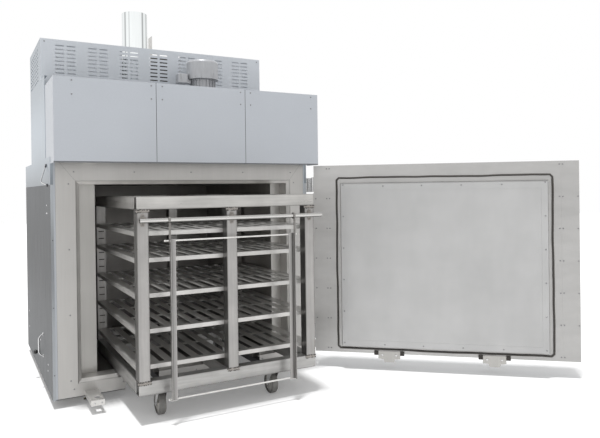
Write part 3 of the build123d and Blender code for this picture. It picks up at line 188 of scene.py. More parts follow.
plug_steel = finish(
    "plug_steel", (0.47, 0.47, 0.468), 0.40, 0.75, (2, 2, 9), 0.01, 0.015, clouds=0.06,
    cloud_size=(1.5, 1.5, 1.9), smears=0.04, smear_size=(3.5, 3.5, 1.3),
)
galvanised = finish("galvanised", (0.34, 0.34, 0.33), 0.45, 0.8, (14, 14, 14), 0.16, 0.12, clouds=0.08)
pipe_steel = finish("pipe_steel", (0.93, 0.96, 0.96), 0.14, 1.0, upright, 0.04, 0.04, clouds=0.03)
chamber_steel = finish(
    "chamber_steel", (0.50, 0.48, 0.46), 0.46, 0.7, (5, 5, 60), 0.06, 0.04, clouds=0.15, smears=0.1,
    smear_size=(5, 5, 0.8),
)
floor_steel = finish("floor_steel", (0.20, 0.19, 0.18), 0.5, 0.6, (20, 20, 20), 0.10, 0.1, clouds=0.12)
trolley_steel = finish(
    "trolley_steel", (0.37, 0.36, 0.35), 0.36, 0.75, (25, 25, 3), 0.08, 0.1, clouds=0.08,
    cloud_size=(5, 5, 5), smears=0.08, smear_size=(40, 40, 2), bump=0.2, bump_size=(80, 80, 8),
)
beam_steel = finish(
    "beam_steel", (0.51, 0.50, 0.48), 0.36, 0.75, (3, 3, 25), 0.08, 0.1, clouds=0.08,
    cloud_size=(5, 5, 5), smears=0.10, smear_size=(2, 2, 40), bump=0.2, bump_size=(8, 8, 80),
)
# A darker copy of the beam steel: painted shade for the low base, which gets less light.
shaded_base_steel = finish(
    "shaded_base_steel", (0.42, 0.415, 0.405), 0.38, 0.75, (3, 3, 25), 0.10, 0.1, clouds=0.10,
    cloud_size=(6, 6, 6), smears=0.12, smear_size=(2, 2, 40), bump=0.2, bump_size=(8, 8, 80),
)
shelf_steel = finish(
    "shelf_steel", (0.60, 0.59, 0.57), 0.36, 0.6, (12, 3, 12), 0.06, 0.05, clouds=0.12, cloud_size=(3, 3, 3),
)
bright_steel = finish("bright_steel", (0.62, 0.62, 0.62), 0.22, 1.0, (40, 40, 40), 0.06, 0.06)
rail_steel = finish("rail_steel", (0.66, 0.65, 0.63), 0.24, 0.95, (3, 60, 60), 0.08, 0.05, clouds=0.06)
bar_steel = finish("bar_steel", (0.40, 0.39, 0.38), 0.34, 0.8, (30, 30, 4), 0.08, 0.05, clouds=0.08)
keeper_steel = finish("keeper_steel", (0.68, 0.67, 0.65), 0.36, 0.75, (30, 30, 30), 0.06, 0.06, clouds=0.08)
weld_steel = finish("weld_steel", (0.30, 0.28, 0.26), 0.42, 0.8, (120, 120, 120), 0.30, 0.12)
# Dark heat-tinted steel for the weld beads, also used for dark sheets that are painted shade.
burnt_steel_and_shade = finish("burnt_steel_and_shade", (0.085, 0.08, 0.075), 0.5, 0.6, (150, 150, 150), 0.35, 0.12)
dark_zinc = finish("dark_zinc", (0.09, 0.09, 0.095), 0.35, 0.7, (60, 60, 60), 0.15)
grey_zinc = finish("grey_zinc", (0.27, 0.27, 0.275), 0.40, 0.6, (60, 60, 60), 0.15)
rubber = finish("rubber", (0.055, 0.05, 0.045), 0.65, grain=(60, 60, 60), contrast=0.2, bump=0.3)
black_plastic = finish("black_plastic", (0.02, 0.02, 0.02), 0.35, grain=(60, 60, 60), contrast=0.2)
wool = finish("wool", (0.45, 0.40, 0.25), 0.9, grain=(90, 90, 90), contrast=0.2, bump=0.6)
print("finishes made", len(bpy.data.materials))

# %% [markdown]
# Large sheets of metal are brighter in one place than in another, because they mirror different parts of
# the room. Lamps could do that, but only from one side. Here a curve over the height or the depth, in
# object coordinates, scales the colour as a painted reflection, so that it stays the same from everywhere.

# %% Curves over height and depth


def ramp(tree, value, stops, interpolation="B_SPLINE"):
    """A curve through (place, brightness) stops, smooth unless another interpolation is asked for."""
    node = tree.nodes.new("ShaderNodeValToRGB")
    node.color_ramp.interpolation = interpolation
    points = node.color_ramp.elements
    while len(points) < len(stops):
        points.new(0.5)
    for point, (place, bright) in zip(points, stops):
        point.position = place
        point.color = (bright, bright, bright, 1)
    tree.links.new(value, node.inputs["Fac"])
    return node.outputs["Color"]


def object_axes(tree):
    """The three object coordinates."""
    place = tree.nodes.new("ShaderNodeTexCoord")
    split = tree.nodes.new("ShaderNodeSeparateXYZ")
    tree.links.new(place.outputs["Object"], split.inputs[0])
    return split.outputs["X"], split.outputs["Y"], split.outputs["Z"]


def scale_colour(made, factor):
    """Multiplies a finish's base colour by a factor socket."""
    tree = made.node_tree
    base = tree.nodes["Principled BSDF"].inputs["Base Color"]
    scaled = tree.nodes.new("ShaderNodeVectorMath")
    scaled.operation = "SCALE"
    tree.links.new(base.links[0].from_socket, scaled.inputs[0])
    tree.links.new(factor, scaled.inputs["Scale"])
    tree.links.new(scaled.outputs["Vector"], base)


def by_range(made, value, low, high, stops):
    """Scales a finish's colour by a curve over a value between two limits."""
    tree = made.node_tree
    share = tree.nodes.new("ShaderNodeMapRange")
    share.inputs["From Min"].default_value = low
    share.inputs["From Max"].default_value = high
    tree.links.new(value, share.inputs["Value"])
    scale_colour(made, ramp(tree, share.outputs["Result"], stops))


def by_height(made, low, high, stops):
    """Scales a finish's colour by a curve over the height between two levels in metres."""
    by_range(made, object_axes(made.node_tree)[2], low, high, stops)


print("curve tools", ramp.__name__, by_range.__name__, by_height.__name__)

# %% [markdown]
# The painted part of the side is brightest in a soft band a third of the way up from its seam, and the bare
# sheet below the seam is darkest a little above its middle; both are painted reflections. The front fold of
# that sheet is painted, so a mask lightens it. The door's inner face darkens away from its hinge, and the
# chamber darkens towards its back, both as painted shade.

# %% Light and dark of the large sheets
side_seam = 1.645
side_top = 2.835
side_foot = 0.06
front_fold = -0.1085
fold_gain = 4.0
# painted reflection: a bright band across the painted side
by_height(side_paint, side_seam, side_top, [
    (0.0, 0.40), (0.08, 0.62), (0.2, 0.90), (0.36, 1.0), (0.5, 0.93), (0.62, 0.78), (0.8, 0.70), (1.0, 0.68),
])
folded = maths(side_steel.node_tree, "LESS_THAN", object_axes(side_steel.node_tree)[1], front_fold)
scale_colour(side_steel, maths(side_steel.node_tree, "MULTIPLY_ADD", folded, fold_gain, 1.0))
# painted reflection: the bare sheet darkest a little above its middle
by_height(side_steel, side_foot, side_seam, [
    (0.0, 0.90), (0.2, 0.98), (0.4, 0.80), (0.55, 0.55), (0.7, 0.55), (0.82, 0.75), (0.92, 0.92), (1.0, 1.0),
])
# painted shade: the door's inner face darker away from its hinge
by_range(door_steel, object_axes(door_steel.node_tree)[0], 1.10, 2.90, [
    (0.0, 1.0), (0.05, 0.98), (0.13, 0.92), (0.3, 0.84), (0.7, 0.80), (1.0, 0.79),
])
# painted shade: the chamber darker towards its back
by_range(chamber_steel, object_axes(chamber_steel.node_tree)[1], 0.1, 1.7, [
    (0.0, 1.0), (0.4, 1.0), (0.7, 0.85), (0.9, 0.65), (1.0, 0.55),
])
print("sheets", side_foot, side_seam, side_top)

# %% [markdown]
# The fascia is three panels that meet in thin dark joints, with a painted shadow line along their foot. The
# joints are too thin to be worth geometry, so the finish compares each point's place with theirs.

# %% Fascia joints
fascia_joints = (-0.340, 0.396)
joint_shade = 0.0022
fascia_foot = 1.810
joint_and_shadow_gain = -0.72
fascia_paint = light_paint.copy()
fascia_paint.name = "fascia_paint"
tree = fascia_paint.node_tree
x_place, y_place, z_place = object_axes(tree)
lines = [maths(tree, "COMPARE", x_place, place, joint_shade) for place in fascia_joints]
# painted shadow: the fascia's foot is darkened like the joints
foot_shadow = maths(tree, "LESS_THAN", z_place, fascia_foot)
line = maths(tree, "MAXIMUM", maths(tree, "MAXIMUM", *lines), foot_shadow)
scale_colour(fascia_paint, maths(tree, "MULTIPLY_ADD", line, joint_and_shadow_gain, 1.0))
print("fascia joints", fascia_joints)

# %% [markdown]
# The exhaust pipe is polished and shows bright and dark stripes along its length, as it mirrors the studio.
# These are painted reflections: a curve over the angle round its axis gives them in the colour, with straight
# steps instead of smooth ones, so that they stay crisp.

# %% Painted reflection stripes of the pipe
pipe_axis = (-0.235, 0.740)
tree = pipe_steel.node_tree
x_place, y_place, z_place = object_axes(tree)
from_axis_x = maths(tree, "SUBTRACT", x_place, pipe_axis[0])
from_axis_y = maths(tree, "SUBTRACT", y_place, pipe_axis[1])
turn = maths(tree, "ARCTAN2", from_axis_y, from_axis_x)
scale_colour(pipe_steel, ramp(tree, maths(tree, "MULTIPLY_ADD", turn, 0.5 / pi, 0.5), [
    (0.0, 0.80), (0.065, 0.95), (0.076, 0.42), (0.088, 0.50), (0.098, 0.95), (0.134, 1.0), (0.142, 0.50),
    (0.150, 1.0), (0.30, 0.95), (0.312, 0.40), (0.325, 0.50), (0.335, 0.90), (0.374, 0.85), (0.385, 0.35),
    (0.400, 0.75), (0.461, 0.55), (0.5, 0.9), (0.7, 0.5), (0.85, 0.9), (1.0, 0.80),
], "LINEAR"))
print("pipe axis", pipe_axis)

# %% [markdown]
# A castor's wheel shows three rings: a grey rubber tyre, a pressed disc and a hub. They are told apart by
# the distance from the axle, which the finish works out from object coordinates around the wheel's own
# centre.

# %% Wheel finish
disc_radius = 0.0635
hub_radius = 0.021
disc_gain = 1.5
hub_gain = 0.8
disc_metal = 0.6


def wheel_finish(name, centre):
    """Rings of grey rubber, cast disc and bright hub around a wheel's axle, which runs along X."""
    made = finish(
        name, (0.19, 0.185, 0.175), 0.5, 0.1, (60, 60, 60), 0.12, 0.1, clouds=0.08, cloud_size=(9, 9, 9),
    )
    tree = made.node_tree
    x_place, y_place, z_place = object_axes(tree)
    across = maths(tree, "SUBTRACT", y_place, centre[1])
    up = maths(tree, "SUBTRACT", z_place, centre[2])
    squares = maths(tree, "ADD", maths(tree, "MULTIPLY", across, across), maths(tree, "MULTIPLY", up, up))
    distance = maths(tree, "SQRT", squares)
    disc = maths(tree, "LESS_THAN", distance, disc_radius)
    hub = maths(tree, "LESS_THAN", distance, hub_radius)
    brighter_disc = maths(tree, "MULTIPLY", disc, disc_gain)
    brighter_hub = maths(tree, "MULTIPLY", hub, hub_gain)
    gain = maths(tree, "ADD", brighter_disc, brighter_hub)
    scale_colour(made, maths(tree, "ADD", 1.0, gain))
    metal = maths(tree, "MULTIPLY", disc, disc_metal)
    tree.links.new(metal, tree.nodes["Principled BSDF"].inputs["Metallic"])
    return made


wheels = ("wheel_front_left", "wheel_front_right", "wheel_rear_left", "wheel_rear_right")
wheel_finishes = {}
for name in wheels:
    low, high = box_corners(name)
    wheel_finishes[name] = wheel_finish(name + "_finish", (low + high) / 2)
print("wheel finishes", len(wheel_finishes))

# %% [markdown]
# The front frame is one stainless sheet, but its outermost edges are painted flanges of the side panels,
# and its corners are mitred. Both are too thin to be worth geometry, so the finish draws them from the
# distance to the flange's edge and to the mitre's slanting line. The frame's recessed inner band is
# painted a little brighter, as painted light.

# %% Frame finish
flange_edge = 1.041
joint_half = 0.0008
mitre_corner = (0.905, 1.676)
mitre_slope = 1.257
flange_colour = (0.47, 0.495, 0.53)
line_colour = (0.25, 0.25, 0.25)
frame_metal = 0.7
plate_back = -0.1035
recess_light_gain = 0.35


def mixed(tree, factor, below, cover):
    """A colour socket with a plain colour laid over it by a factor."""
    node = tree.nodes.new("ShaderNodeMix")
    node.data_type = "RGBA"
    node.inputs["B"].default_value = (*cover, 1)
    tree.links.new(factor, node.inputs["Factor"])
    tree.links.new(below, node.inputs["A"])
    return node.outputs["Result"]


frame_steel = finish(
    "frame_steel", (0.455, 0.445, 0.43), 0.38, frame_metal, upright, 0.03, 0.05, clouds=0.05, smears=0.04,
    bump=0.08, bump_size=upright, anisotropic=0.3,
)
tree = frame_steel.node_tree
shader = tree.nodes["Principled BSDF"]
x_place, y_place, z_place = object_axes(tree)
sideways = maths(tree, "ABSOLUTE", x_place)
painted = maths(tree, "GREATER_THAN", sideways, flange_edge)
joint = maths(tree, "COMPARE", sideways, flange_edge, joint_half)
past_corner = maths(tree, "SUBTRACT", sideways, mitre_corner[0])
along = maths(tree, "MULTIPLY_ADD", past_corner, mitre_slope, mitre_corner[1])
mitre = maths(tree, "COMPARE", z_place, along, 2 * joint_half)
mitre = maths(tree, "MULTIPLY", mitre, maths(tree, "GREATER_THAN", sideways, mitre_corner[0]))
line = maths(tree, "MAXIMUM", joint, mitre)
covered = mixed(tree, painted, shader.inputs["Base Color"].links[0].from_socket, flange_colour)
covered = mixed(tree, line, covered, line_colour)
tree.links.new(covered, shader.inputs["Base Color"])
tree.links.new(maths(tree, "MULTIPLY_ADD", painted, -frame_metal, frame_metal), shader.inputs["Metallic"])
# painted light: the recessed band behind the plate is made brighter
recessed = maths(tree, "GREATER_THAN", y_place, plate_back)
scale_colour(frame_steel, maths(tree, "MULTIPLY_ADD", recessed, recess_light_gain, 1.0))
print("frame finish", len(tree.nodes), "nodes")

# %% [markdown]
# Most pieces of the CAD model are shown as they are. A loop puts one of the finishes in the material slot
# of each, from a list that says which pieces of the real oven are made of the same metal or paint.

# %% Give the finishes to the nodes
finishes = {
    fascia_paint: ("fascia_panels",),
    light_paint: ("fascia_returns",),
    lit_cover_paint: ("enclosure_front", "enclosure_walls"),
    side_paint: ("upper_side_panels",),
    side_steel: ("lower_side_panels",),
    grey_paint: ("rear_panel", "roof_panel", "door_skin"),
    dark_paint: ("base_frame", "motor_stand", "rod_guides"),
    motor_paint: ("fan_motor", "motor_cowl", "terminal_box"),
    frame_steel: ("front_frame",),
    stainless: ("jamb_frame", "track_plates"),
    keeper_steel: ("lock_keepers",),
    door_steel: ("door_edge_strips",),
    plug_steel: ("door_plug",),
    galvanised: ("air_baffle", "fascia_frame", "fan_rotor", "damper_flap"),
    pipe_steel: ("exhaust_pipe",),
    chamber_steel: ("chamber_liner",),
    floor_steel: ("floor_blocks",),
    trolley_steel: ("cart_front_posts", "cart_rear_posts", "drawbar"),
    beam_steel: ("cart_top_frame",),
    shaded_base_steel: ("cart_base",),
    shelf_steel: ("shelves",),
    rail_steel: ("push_rail",),
    bright_steel: (
        "levelling_feet", "heater_bank", "lashing_loops", "hinge_brackets", "hinge_pins", "bow_handle",
        "body_screws", "hinge_leaves", "lock_rod_upper", "lock_rod_lower", "door_screws", "castor_heads",
        "rear_castor_forks", "castor_fork_left", "castor_fork_right",
    ),
    rubber: ("door_gasket", "track_seals"),
    black_plastic: ("inlet_knob", "lock_handle"),
    wool: ("wall_insulation", "door_insulation"),
}
for made, names in list(finishes.items()) + [(wheel_finishes[name], (name,)) for name in wheels]:
    for name in names:
        nodes[name].data.materials.clear()
        nodes[name].data.materials.append(made)
print("finishes given", len(finishes))

# %% [markdown]
# A folded or rolled edge is never a knife edge: it catches a thin line of light. The trolley's tubes, the
# keepers, the motor's terminal box and the door's track plates keep their CAD shape, so a copy of each is
# merged into clean faces, and a Bevel modifier rounds its sharp edges.

# %% Rounded copies of CAD pieces
same_point = 0.00002
flat_turn = radians(0.5)
smooth_turn = radians(32)
bevel_turn = radians(40)


def merged(name):
    """A node's mesh as a bmesh with shared points and flat faces joined."""
    shape = bmesh.new()
    shape.from_mesh(nodes[name].data)
    bmesh.ops.remove_doubles(shape, verts=shape.verts, dist=same_point)
    bmesh.ops.dissolve_limit(shape, angle_limit=flat_turn, verts=shape.verts, edges=shape.edges)
    return shape


def ride_as(name, mesh, made, body, smooth=True):
    """Adds a finished mesh as a piece with one finish that rides on a body."""
    mesh.materials.clear()
    mesh.materials.append(made)
    if smooth:
        mesh.shade_smooth()
        mesh.set_sharp_from_angle(angle=smooth_turn)
    piece = bpy.data.objects.new(name, mesh)
    bpy.context.scene.collection.objects.link(piece)
    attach(piece, body)
    return piece


def rounded(name, width):
    """A copy of a node with rounded edges, which replaces it."""
    shape = merged(name)
    mesh = bpy.data.meshes.new(name + "_rounded")
    shape.to_mesh(mesh)
    shape.free()
    made = nodes[name].data.materials[0]
    piece = ride_as(name + "_rounded", mesh, made, node_body[name])
    edge = piece.modifiers.new("edge", "BEVEL")
    edge.width = width
    edge.segments = 2
    edge.limit_method = "ANGLE"
    edge.angle_limit = bevel_turn
    edge.harden_normals = True
    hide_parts(name)
    return piece


edge_widths = {
    "cart_front_posts": 0.004, "cart_rear_posts": 0.004, "cart_base": 0.004, "cart_top_frame": 0.004,
    "lock_keepers": 0.0015, "terminal_box": 0.004, "track_plates": 0.001,
}
for name, width in edge_widths.items():
    rounded(name, width)
print("rounded", len(edge_widths))

# %% [markdown]
# New pieces are built as meshes in place. `turned` spins a profile round an axis, as a lathe does; `prism`
# pushes a flat outline along a line; `swept` runs a round section along a path, thicker or thinner from
# point to point.

# %% Tools for new pieces


def turned(shape, profile, origin, axis, steps=24, closed=False):
    """Spins a profile of (along, radius) points round an axis."""
    axis = Vector(axis).normalized()
    side = axis.orthogonal().normalized()
    other = axis.cross(side)
    rings = []
    for along, radius in profile:
        centre = Vector(origin) + axis * along
        if radius < 1e-6:
            rings.append([shape.verts.new(centre)])
            continue
        turns = [2 * pi * step / steps for step in range(steps)]
        rings.append([shape.verts.new(centre + (side * cos(t) + other * sin(t)) * radius) for t in turns])
    pairs = list(zip(rings, rings[1:]))
    if closed:
        pairs.append((rings[-1], rings[0]))
    for first, second in pairs:
        for here in range(steps):
            there = (here + 1) % steps
            corners = [
                first[here % len(first)], first[there % len(first)],
                second[there % len(second)], second[here % len(second)],
            ]
            corners = list(dict.fromkeys(corners))
            if len(corners) > 2:
                shape.faces.new(corners)


def rod(shape, start, end, radius, steps=16, bevel=0.0008):
    """A round bar between two points with small bevels at its ends."""
    start, end = Vector(start), Vector(end)
    long = (end - start).length
    turned(shape, [
        (0, 0), (0, radius - bevel), (bevel, radius),
        (long - bevel, radius), (long, radius - bevel), (long, 0),
    ], start, end - start, steps)


def prism(shape, outline, along):
    """Pushes a flat outline of points along a vector."""
    low = [shape.verts.new(point) for point in outline]
    high = [shape.verts.new(Vector(point) + Vector(along)) for point in outline]
    shape.faces.new(low)
    shape.faces.new(high)
    for here in range(len(low)):
        there = (here + 1) % len(low)
        shape.faces.new([low[here], low[there], high[there], high[here]])


def block(shape, x, y, z):
    """A bar between (low, high) pairs."""
    outline = [(x[0], y[0], z[0]), (x[1], y[0], z[0]), (x[1], y[1], z[0]), (x[0], y[1], z[0])]
    prism(shape, outline, (0, 0, z[1] - z[0]))


def swept(shape, path, radii, steps=12, closed=False, flat=None, wide=1.0):
    """A round section run along a path; `flat` keeps its radius while the other axis is widened."""
    path = [Vector(point) for point in path]
    count = len(path)
    side = None
    rings = []
    for here, point in enumerate(path):
        before = path[here - 1] if here or closed else point
        after = path[(here + 1) % count] if here < count - 1 or closed else point
        along = (after - before).normalized()
        if side is None:
            side = flat or along.orthogonal()
        side = (side - along * side.dot(along)).normalized()
        other = along.cross(side)
        turns = [2 * pi * step / steps for step in range(steps)]
        rings.append([
            shape.verts.new(point + (side * cos(t) + other * sin(t) * wide) * radii[here]) for t in turns
        ])
    pairs = list(zip(rings, rings[1:]))
    if closed:
        pairs.append((rings[-1], rings[0]))
    else:
        shape.faces.new(list(reversed(rings[0])))
        shape.faces.new(rings[-1])
    for first, second in pairs:
        for step in range(steps):
            after = (step + 1) % steps
            shape.faces.new([first[step], first[after], second[after], second[step]])


def finished(name, shape, made, body, smooth=True):
    """Turns a bmesh into a piece with faces outward."""
    bmesh.ops.recalc_face_normals(shape, faces=shape.faces)
    mesh = bpy.data.meshes.new(name)
    shape.to_mesh(mesh)
    shape.free()
    return ride_as(name, mesh, made, body, smooth)


# %% [markdown]
# A drawn square tube has round corners that mirror the dark floor and the dark inside of the oven, so each
# post and beam shows dark lines along its edges. The finishes paint these reflections into the colour, from
# the distance to the nearest post's middle line and from the height within each beam.

# %% Painted reflections along the tubes' edges
posts_low, posts_high = box_corners("cart_front_posts")
post_face = posts_low.y
post_size = 0.080
post_pitch = 0.650
post_columns = [posts_low.x + post_size / 2 + step * post_pitch for step in range(3)]
tree = trolley_steel.node_tree
from_first = maths(tree, "SUBTRACT", object_axes(tree)[0], post_columns[0])
from_column = maths(tree, "PINGPONG", from_first, post_pitch / 2)
# painted reflections: dark lines along the posts' edges
by_range(trolley_steel, from_column, 0, post_size / 2, [
    (0.0, 1.0), (0.80, 1.0), (0.89, 0.80), (0.95, 0.40), (1.0, 0.45),
])
# painted reflections: dark lines along the beams' top and bottom edges
for made, name in ((beam_steel, "cart_top_frame"), (shaded_base_steel, "cart_base")):
    low, high = box_corners(name)
    by_height(made, low.z, high.z, [
        (0.0, 0.35), (0.05, 0.70), (0.12, 0.95), (0.5, 0.95), (0.88, 1.0), (0.95, 0.95), (1.0, 0.55),
    ])
print("post columns", post_columns)

# %% [markdown]
# The turned-down rim at the back of each shelf would show through the slots of the shelf above as a white
# speck. On the real trolley it stands in the dark, so the finish darkens what lies behind the front of the
# rear posts.

# %% Dark rear rims
rim_depth = 0.006
rim_shade = -0.85
rear_low, rear_high = box_corners("cart_rear_posts")
tree = shelf_steel.node_tree
hidden_rim = maths(tree, "GREATER_THAN", object_axes(tree)[1], rear_low.y - rim_depth)
scale_colour(shelf_steel, maths(tree, "MULTIPLY_ADD", hidden_rim, rim_shade, 1.0))
print("rear posts", rear_low, rear_high)

# %% [markdown]
# The push rail is a polished steel tube with open ends. Waisted flanges, bolted to the front posts, carry
# it on short stems. The tube is turned from a ring-shaped profile, so that its wall shows at the ends.

# %% Push rail
rail_low, rail_high = box_corners("push_rail")
cad_rail_radius = 0.013
rail_y = rail_low.y + cad_rail_radius
rail_z = (rail_low.z + rail_high.z) / 2
rail_radius = 0.0155
rail_bore = 0.013


def ring(shape, start, long, bore, radius, steps):
    """A tube along X with small bevels on its outer ends."""
    bevel = 0.001
    turned(shape, [
        (0, bore), (0, radius - bevel), (bevel, radius), (long - bevel, radius), (long, radius - bevel),
        (long, bore),
    ], start, (1, 0, 0), steps, closed=True)


shape = bmesh.new()
rail_long = rail_high.x - rail_low.x
ring(shape, (rail_low.x, rail_y, rail_z), rail_long, rail_bore, rail_radius, 32)
rail_tube = finished("rail_tube", shape, rail_steel, "trolley")
# Painted reflection: the tube is darkest along its underside and brightest halfway up.
by_height(rail_steel, rail_z - rail_radius, rail_z + rail_radius, [
    (0.0, 0.28), (0.18, 0.35), (0.34, 0.8), (0.5, 1.0), (0.66, 0.75), (0.82, 0.55), (1.0, 0.75),
])
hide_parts("push_rail")
print("rail", rail_long)

# %% [markdown]
# The flanges are cut from plate with eight corners, wide in the middle and narrow at the tips, and each has
# a short round stem. The outline is drawn once round the middle of a post and pushed forwards.

# %% Rail flanges
flange_half = (0.020, 0.043)
flange_tip = 0.009
flange_shoulder = 0.012
flange_thick = 0.006
stem_radius = 0.010
shape = bmesh.new()
for x in post_columns:
    corners = [
        (flange_tip, flange_half[1]), (flange_half[0], flange_shoulder), (flange_half[0], -flange_shoulder),
        (flange_tip, -flange_half[1]), (-flange_tip, -flange_half[1]), (-flange_half[0], -flange_shoulder),
        (-flange_half[0], flange_shoulder), (-flange_tip, flange_half[1]),
    ]
    prism(shape, [(x + dx, post_face, rail_z + dz) for dx, dz in corners], (0, -flange_thick, 0))
    rod(shape, (x, post_face - flange_thick, rail_z), (x, rail_y + rail_bore, rail_z), stem_radius)
finished("rail_flanges", shape, weld_steel, "trolley")
print("flanges", len(post_columns))

# %% [markdown]
# The drawbar is a ladder of two angle irons and two thin cross rods. It hangs from the rail on two rings
# with narrow straps, so it can be lifted to hook a trolley outside. An angle iron shows as a wide strip, a
# dark inner corner and a narrow strip, so its outline is drawn as an L and pushed upwards.

# %% Rings of the drawbar
drawbar_low, drawbar_high = box_corners("drawbar")
ring_columns = (-0.410, 0.552)
ring_half = 0.007
ring_bore = rail_radius + 0.0003
ring_wall = 0.008
iron_back = rail_y - 0.0181
iron_rise = (0.166, 1.262)
strap_thick = 0.005
strap_rise = (iron_rise[1] - 0.03, rail_z - 0.019)
strap_bolt_levels = (rail_z - 0.033, iron_rise[1] + 0.022)
shape = bmesh.new()
for x in ring_columns:
    ring(shape, (x - ring_half, rail_y, rail_z), 2 * ring_half, ring_bore, ring_bore + ring_wall, 28)
    block(shape, (x - ring_half, x + ring_half), (iron_back, iron_back + strap_thick), strap_rise)
    for z in strap_bolt_levels:
        rod(shape, (x, iron_back + 0.0005, z), (x, iron_back - 0.006, z), 0.0065, 6)
ring_steel = finish("ring_steel", (0.22, 0.21, 0.20), 0.36, 0.8, (60, 60, 60), 0.15, 0.08)
finished("hanger_rings", shape, ring_steel, "drawbar")
print("rings", ring_columns)

# %% [markdown]
# Each iron's outline has six corners. Its finish adds the bright and dark strips as painted shade, from the
# distance to the middle of the iron, because the inside of so narrow an angle is only a few pixels wide.

# %% Irons of the drawbar
iron_columns = (-0.393, 0.520)
iron_half = 0.021
iron_sheet = 0.004
iron_reach = 0.030
shape = bmesh.new()
for side, x in zip((-1, 1), iron_columns):
    outer = x + side * iron_half
    inner = x - side * iron_half
    web = outer - side * iron_sheet
    front_edge = iron_back - iron_reach
    outline = [
        (inner, iron_back), (inner, iron_back - iron_sheet), (web, iron_back - iron_sheet), (web, front_edge),
        (outer, front_edge), (outer, iron_back),
    ]
    prism(shape, [(px, py, iron_rise[0]) for px, py in outline], (0, 0, iron_rise[1] - iron_rise[0]))
drawbar_irons = finished("drawbar_irons", shape, bar_steel, "drawbar")
tree = bar_steel.node_tree
iron_middle = sum(iron_columns) / 2
iron_apart = (iron_columns[1] - iron_columns[0]) / 2
# painted shade: dark in the angle's inner corner and dimmer across its web
from_middle = maths(tree, "ABSOLUTE", maths(tree, "SUBTRACT", object_axes(tree)[0], iron_middle))
by_range(bar_steel, maths(tree, "SUBTRACT", from_middle, iron_apart), -iron_half, iron_half, [
    (0.0, 1.0), (0.08, 1.0), (0.16, 0.8), (0.55, 0.72), (0.68, 0.25), (0.76, 0.22), (0.86, 0.85), (1.0, 1.0),
])
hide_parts("drawbar")
print("irons", iron_columns)

# %% [markdown]
# The two cross rods run through the irons, each with a small clip and nut at every crossing and a round
# end.

# %% Rods of the drawbar
rod_radius = 0.006
rod_spans = {1.250: (drawbar_low.x + 0.002, ring_columns[1] + 0.012), 0.172: (-0.425, 0.552)}
round_end = [(-0.008, 0), (-0.006, 0.006), (0, 0.0088), (0.006, 0.006), (0.008, 0)]
nut = [(-0.007, 0), (-0.007, 0.009), (0.007, 0.009), (0.007, 0)]
rod_y = iron_back + rod_radius
clip_half = 0.024
clip_depth = (iron_back + 0.0003, iron_back + 0.012)
clip_drop = (0.010, 0.004)
shape = bmesh.new()
for z, (low, high) in rod_spans.items():
    rod(shape, (low, rod_y, z), (high, rod_y, z), rod_radius)
    for x in iron_columns:
        block(shape, (x - clip_half, x + clip_half), clip_depth, (z - clip_drop[0], z - clip_drop[1]))
        turned(shape, nut, (x, rod_y, z), (1, 0, 0), 6)
    for x in (low, high):
        turned(shape, round_end, (x, rod_y, z), (1, 0, 0), 12)
finished("drawbar_rods", shape, keeper_steel, "drawbar")
print("drawbar", drawbar_low, drawbar_high)

# %% [markdown]
# Each screw head, rivet and weld bead is one small shape put on many points. A Geometry Nodes tree does
# this: it takes points that know which way they face, puts a template on each, turns it, varies its size by
# a seeded chance, and ends in one real mesh with its finish.

# %% The scatter tree
scatter = bpy.data.node_groups.new("scatter", "GeometryNodeTree")
scatter_inputs = {}
for title, kind in (
    ("Points", "NodeSocketGeometry"), ("Template", "NodeSocketObject"), ("Size", "NodeSocketFloat"),
    ("Size Spread", "NodeSocketFloat"), ("Seed", "NodeSocketInt"), ("Finish", "NodeSocketMaterial"),
):
    scatter_inputs[title] = scatter.interface.new_socket(title, in_out="INPUT", socket_type=kind).identifier
scatter.interface.new_socket("Pieces", in_out="OUTPUT", socket_type="NodeSocketGeometry")


def add_node(kind, **links):
    """A node of the scatter tree, with inputs linked or set by their names."""
    node = scatter.nodes.new(kind)
    for title, value in links.items():
        socket = node.inputs[title.replace("_", " ")]
        if isinstance(value, bpy.types.NodeSocket):
            scatter.links.new(value, socket)
        else:
            socket.default_value = value
    return node


given = add_node("NodeGroupInput").outputs
facing = add_node("GeometryNodeInputNamedAttribute", Name="facing")
facing.data_type = "FLOAT_VECTOR"
turn = add_node("FunctionNodeAlignRotationToVector", Vector=facing.outputs["Attribute"])
turn.axis = "Z"
chance = add_node("FunctionNodeRandomValue", Seed=given["Seed"])
scatter.links.new(maths(scatter, "SUBTRACT", 1.0, given["Size Spread"]), chance.inputs[2])
scatter.links.new(maths(scatter, "ADD", 1.0, given["Size Spread"]), chance.inputs[3])
template = add_node("GeometryNodeObjectInfo", Object=given["Template"])
copies = add_node(
    "GeometryNodeInstanceOnPoints", Points=given["Points"], Instance=template.outputs["Geometry"],
    Rotation=turn.outputs["Rotation"], Scale=maths(scatter, "MULTIPLY", chance.outputs[1], given["Size"]),
)
real = add_node("GeometryNodeRealizeInstances", Geometry=copies.outputs["Instances"])
coat = add_node("GeometryNodeSetMaterial", Geometry=real.outputs["Geometry"], Material=given["Finish"])
add_node("NodeGroupOutput", Pieces=coat.outputs["Geometry"])
print("scatter tree", len(scatter.nodes), "nodes")

# %% [markdown]
# A template is a small turned shape of width 1 that stands on the origin and points up. `scattered` makes a
# mesh of bare points, hangs the tree on it, and keeps the evaluated result as one plain mesh that rides on
# a body.

# %% Templates and their use
templates = {}


def add_template(name, profile, steps):
    """A small turned shape that stands on the origin and points up."""
    shape = bmesh.new()
    turned(shape, profile, (0, 0, 0), (0, 0, 1), steps)
    bmesh.ops.recalc_face_normals(shape, faces=shape.faces)
    mesh = bpy.data.meshes.new(name)
    shape.to_mesh(mesh)
    shape.free()
    templates[name] = bpy.data.objects.new(name, mesh)
    bpy.context.scene.collection.objects.link(templates[name])


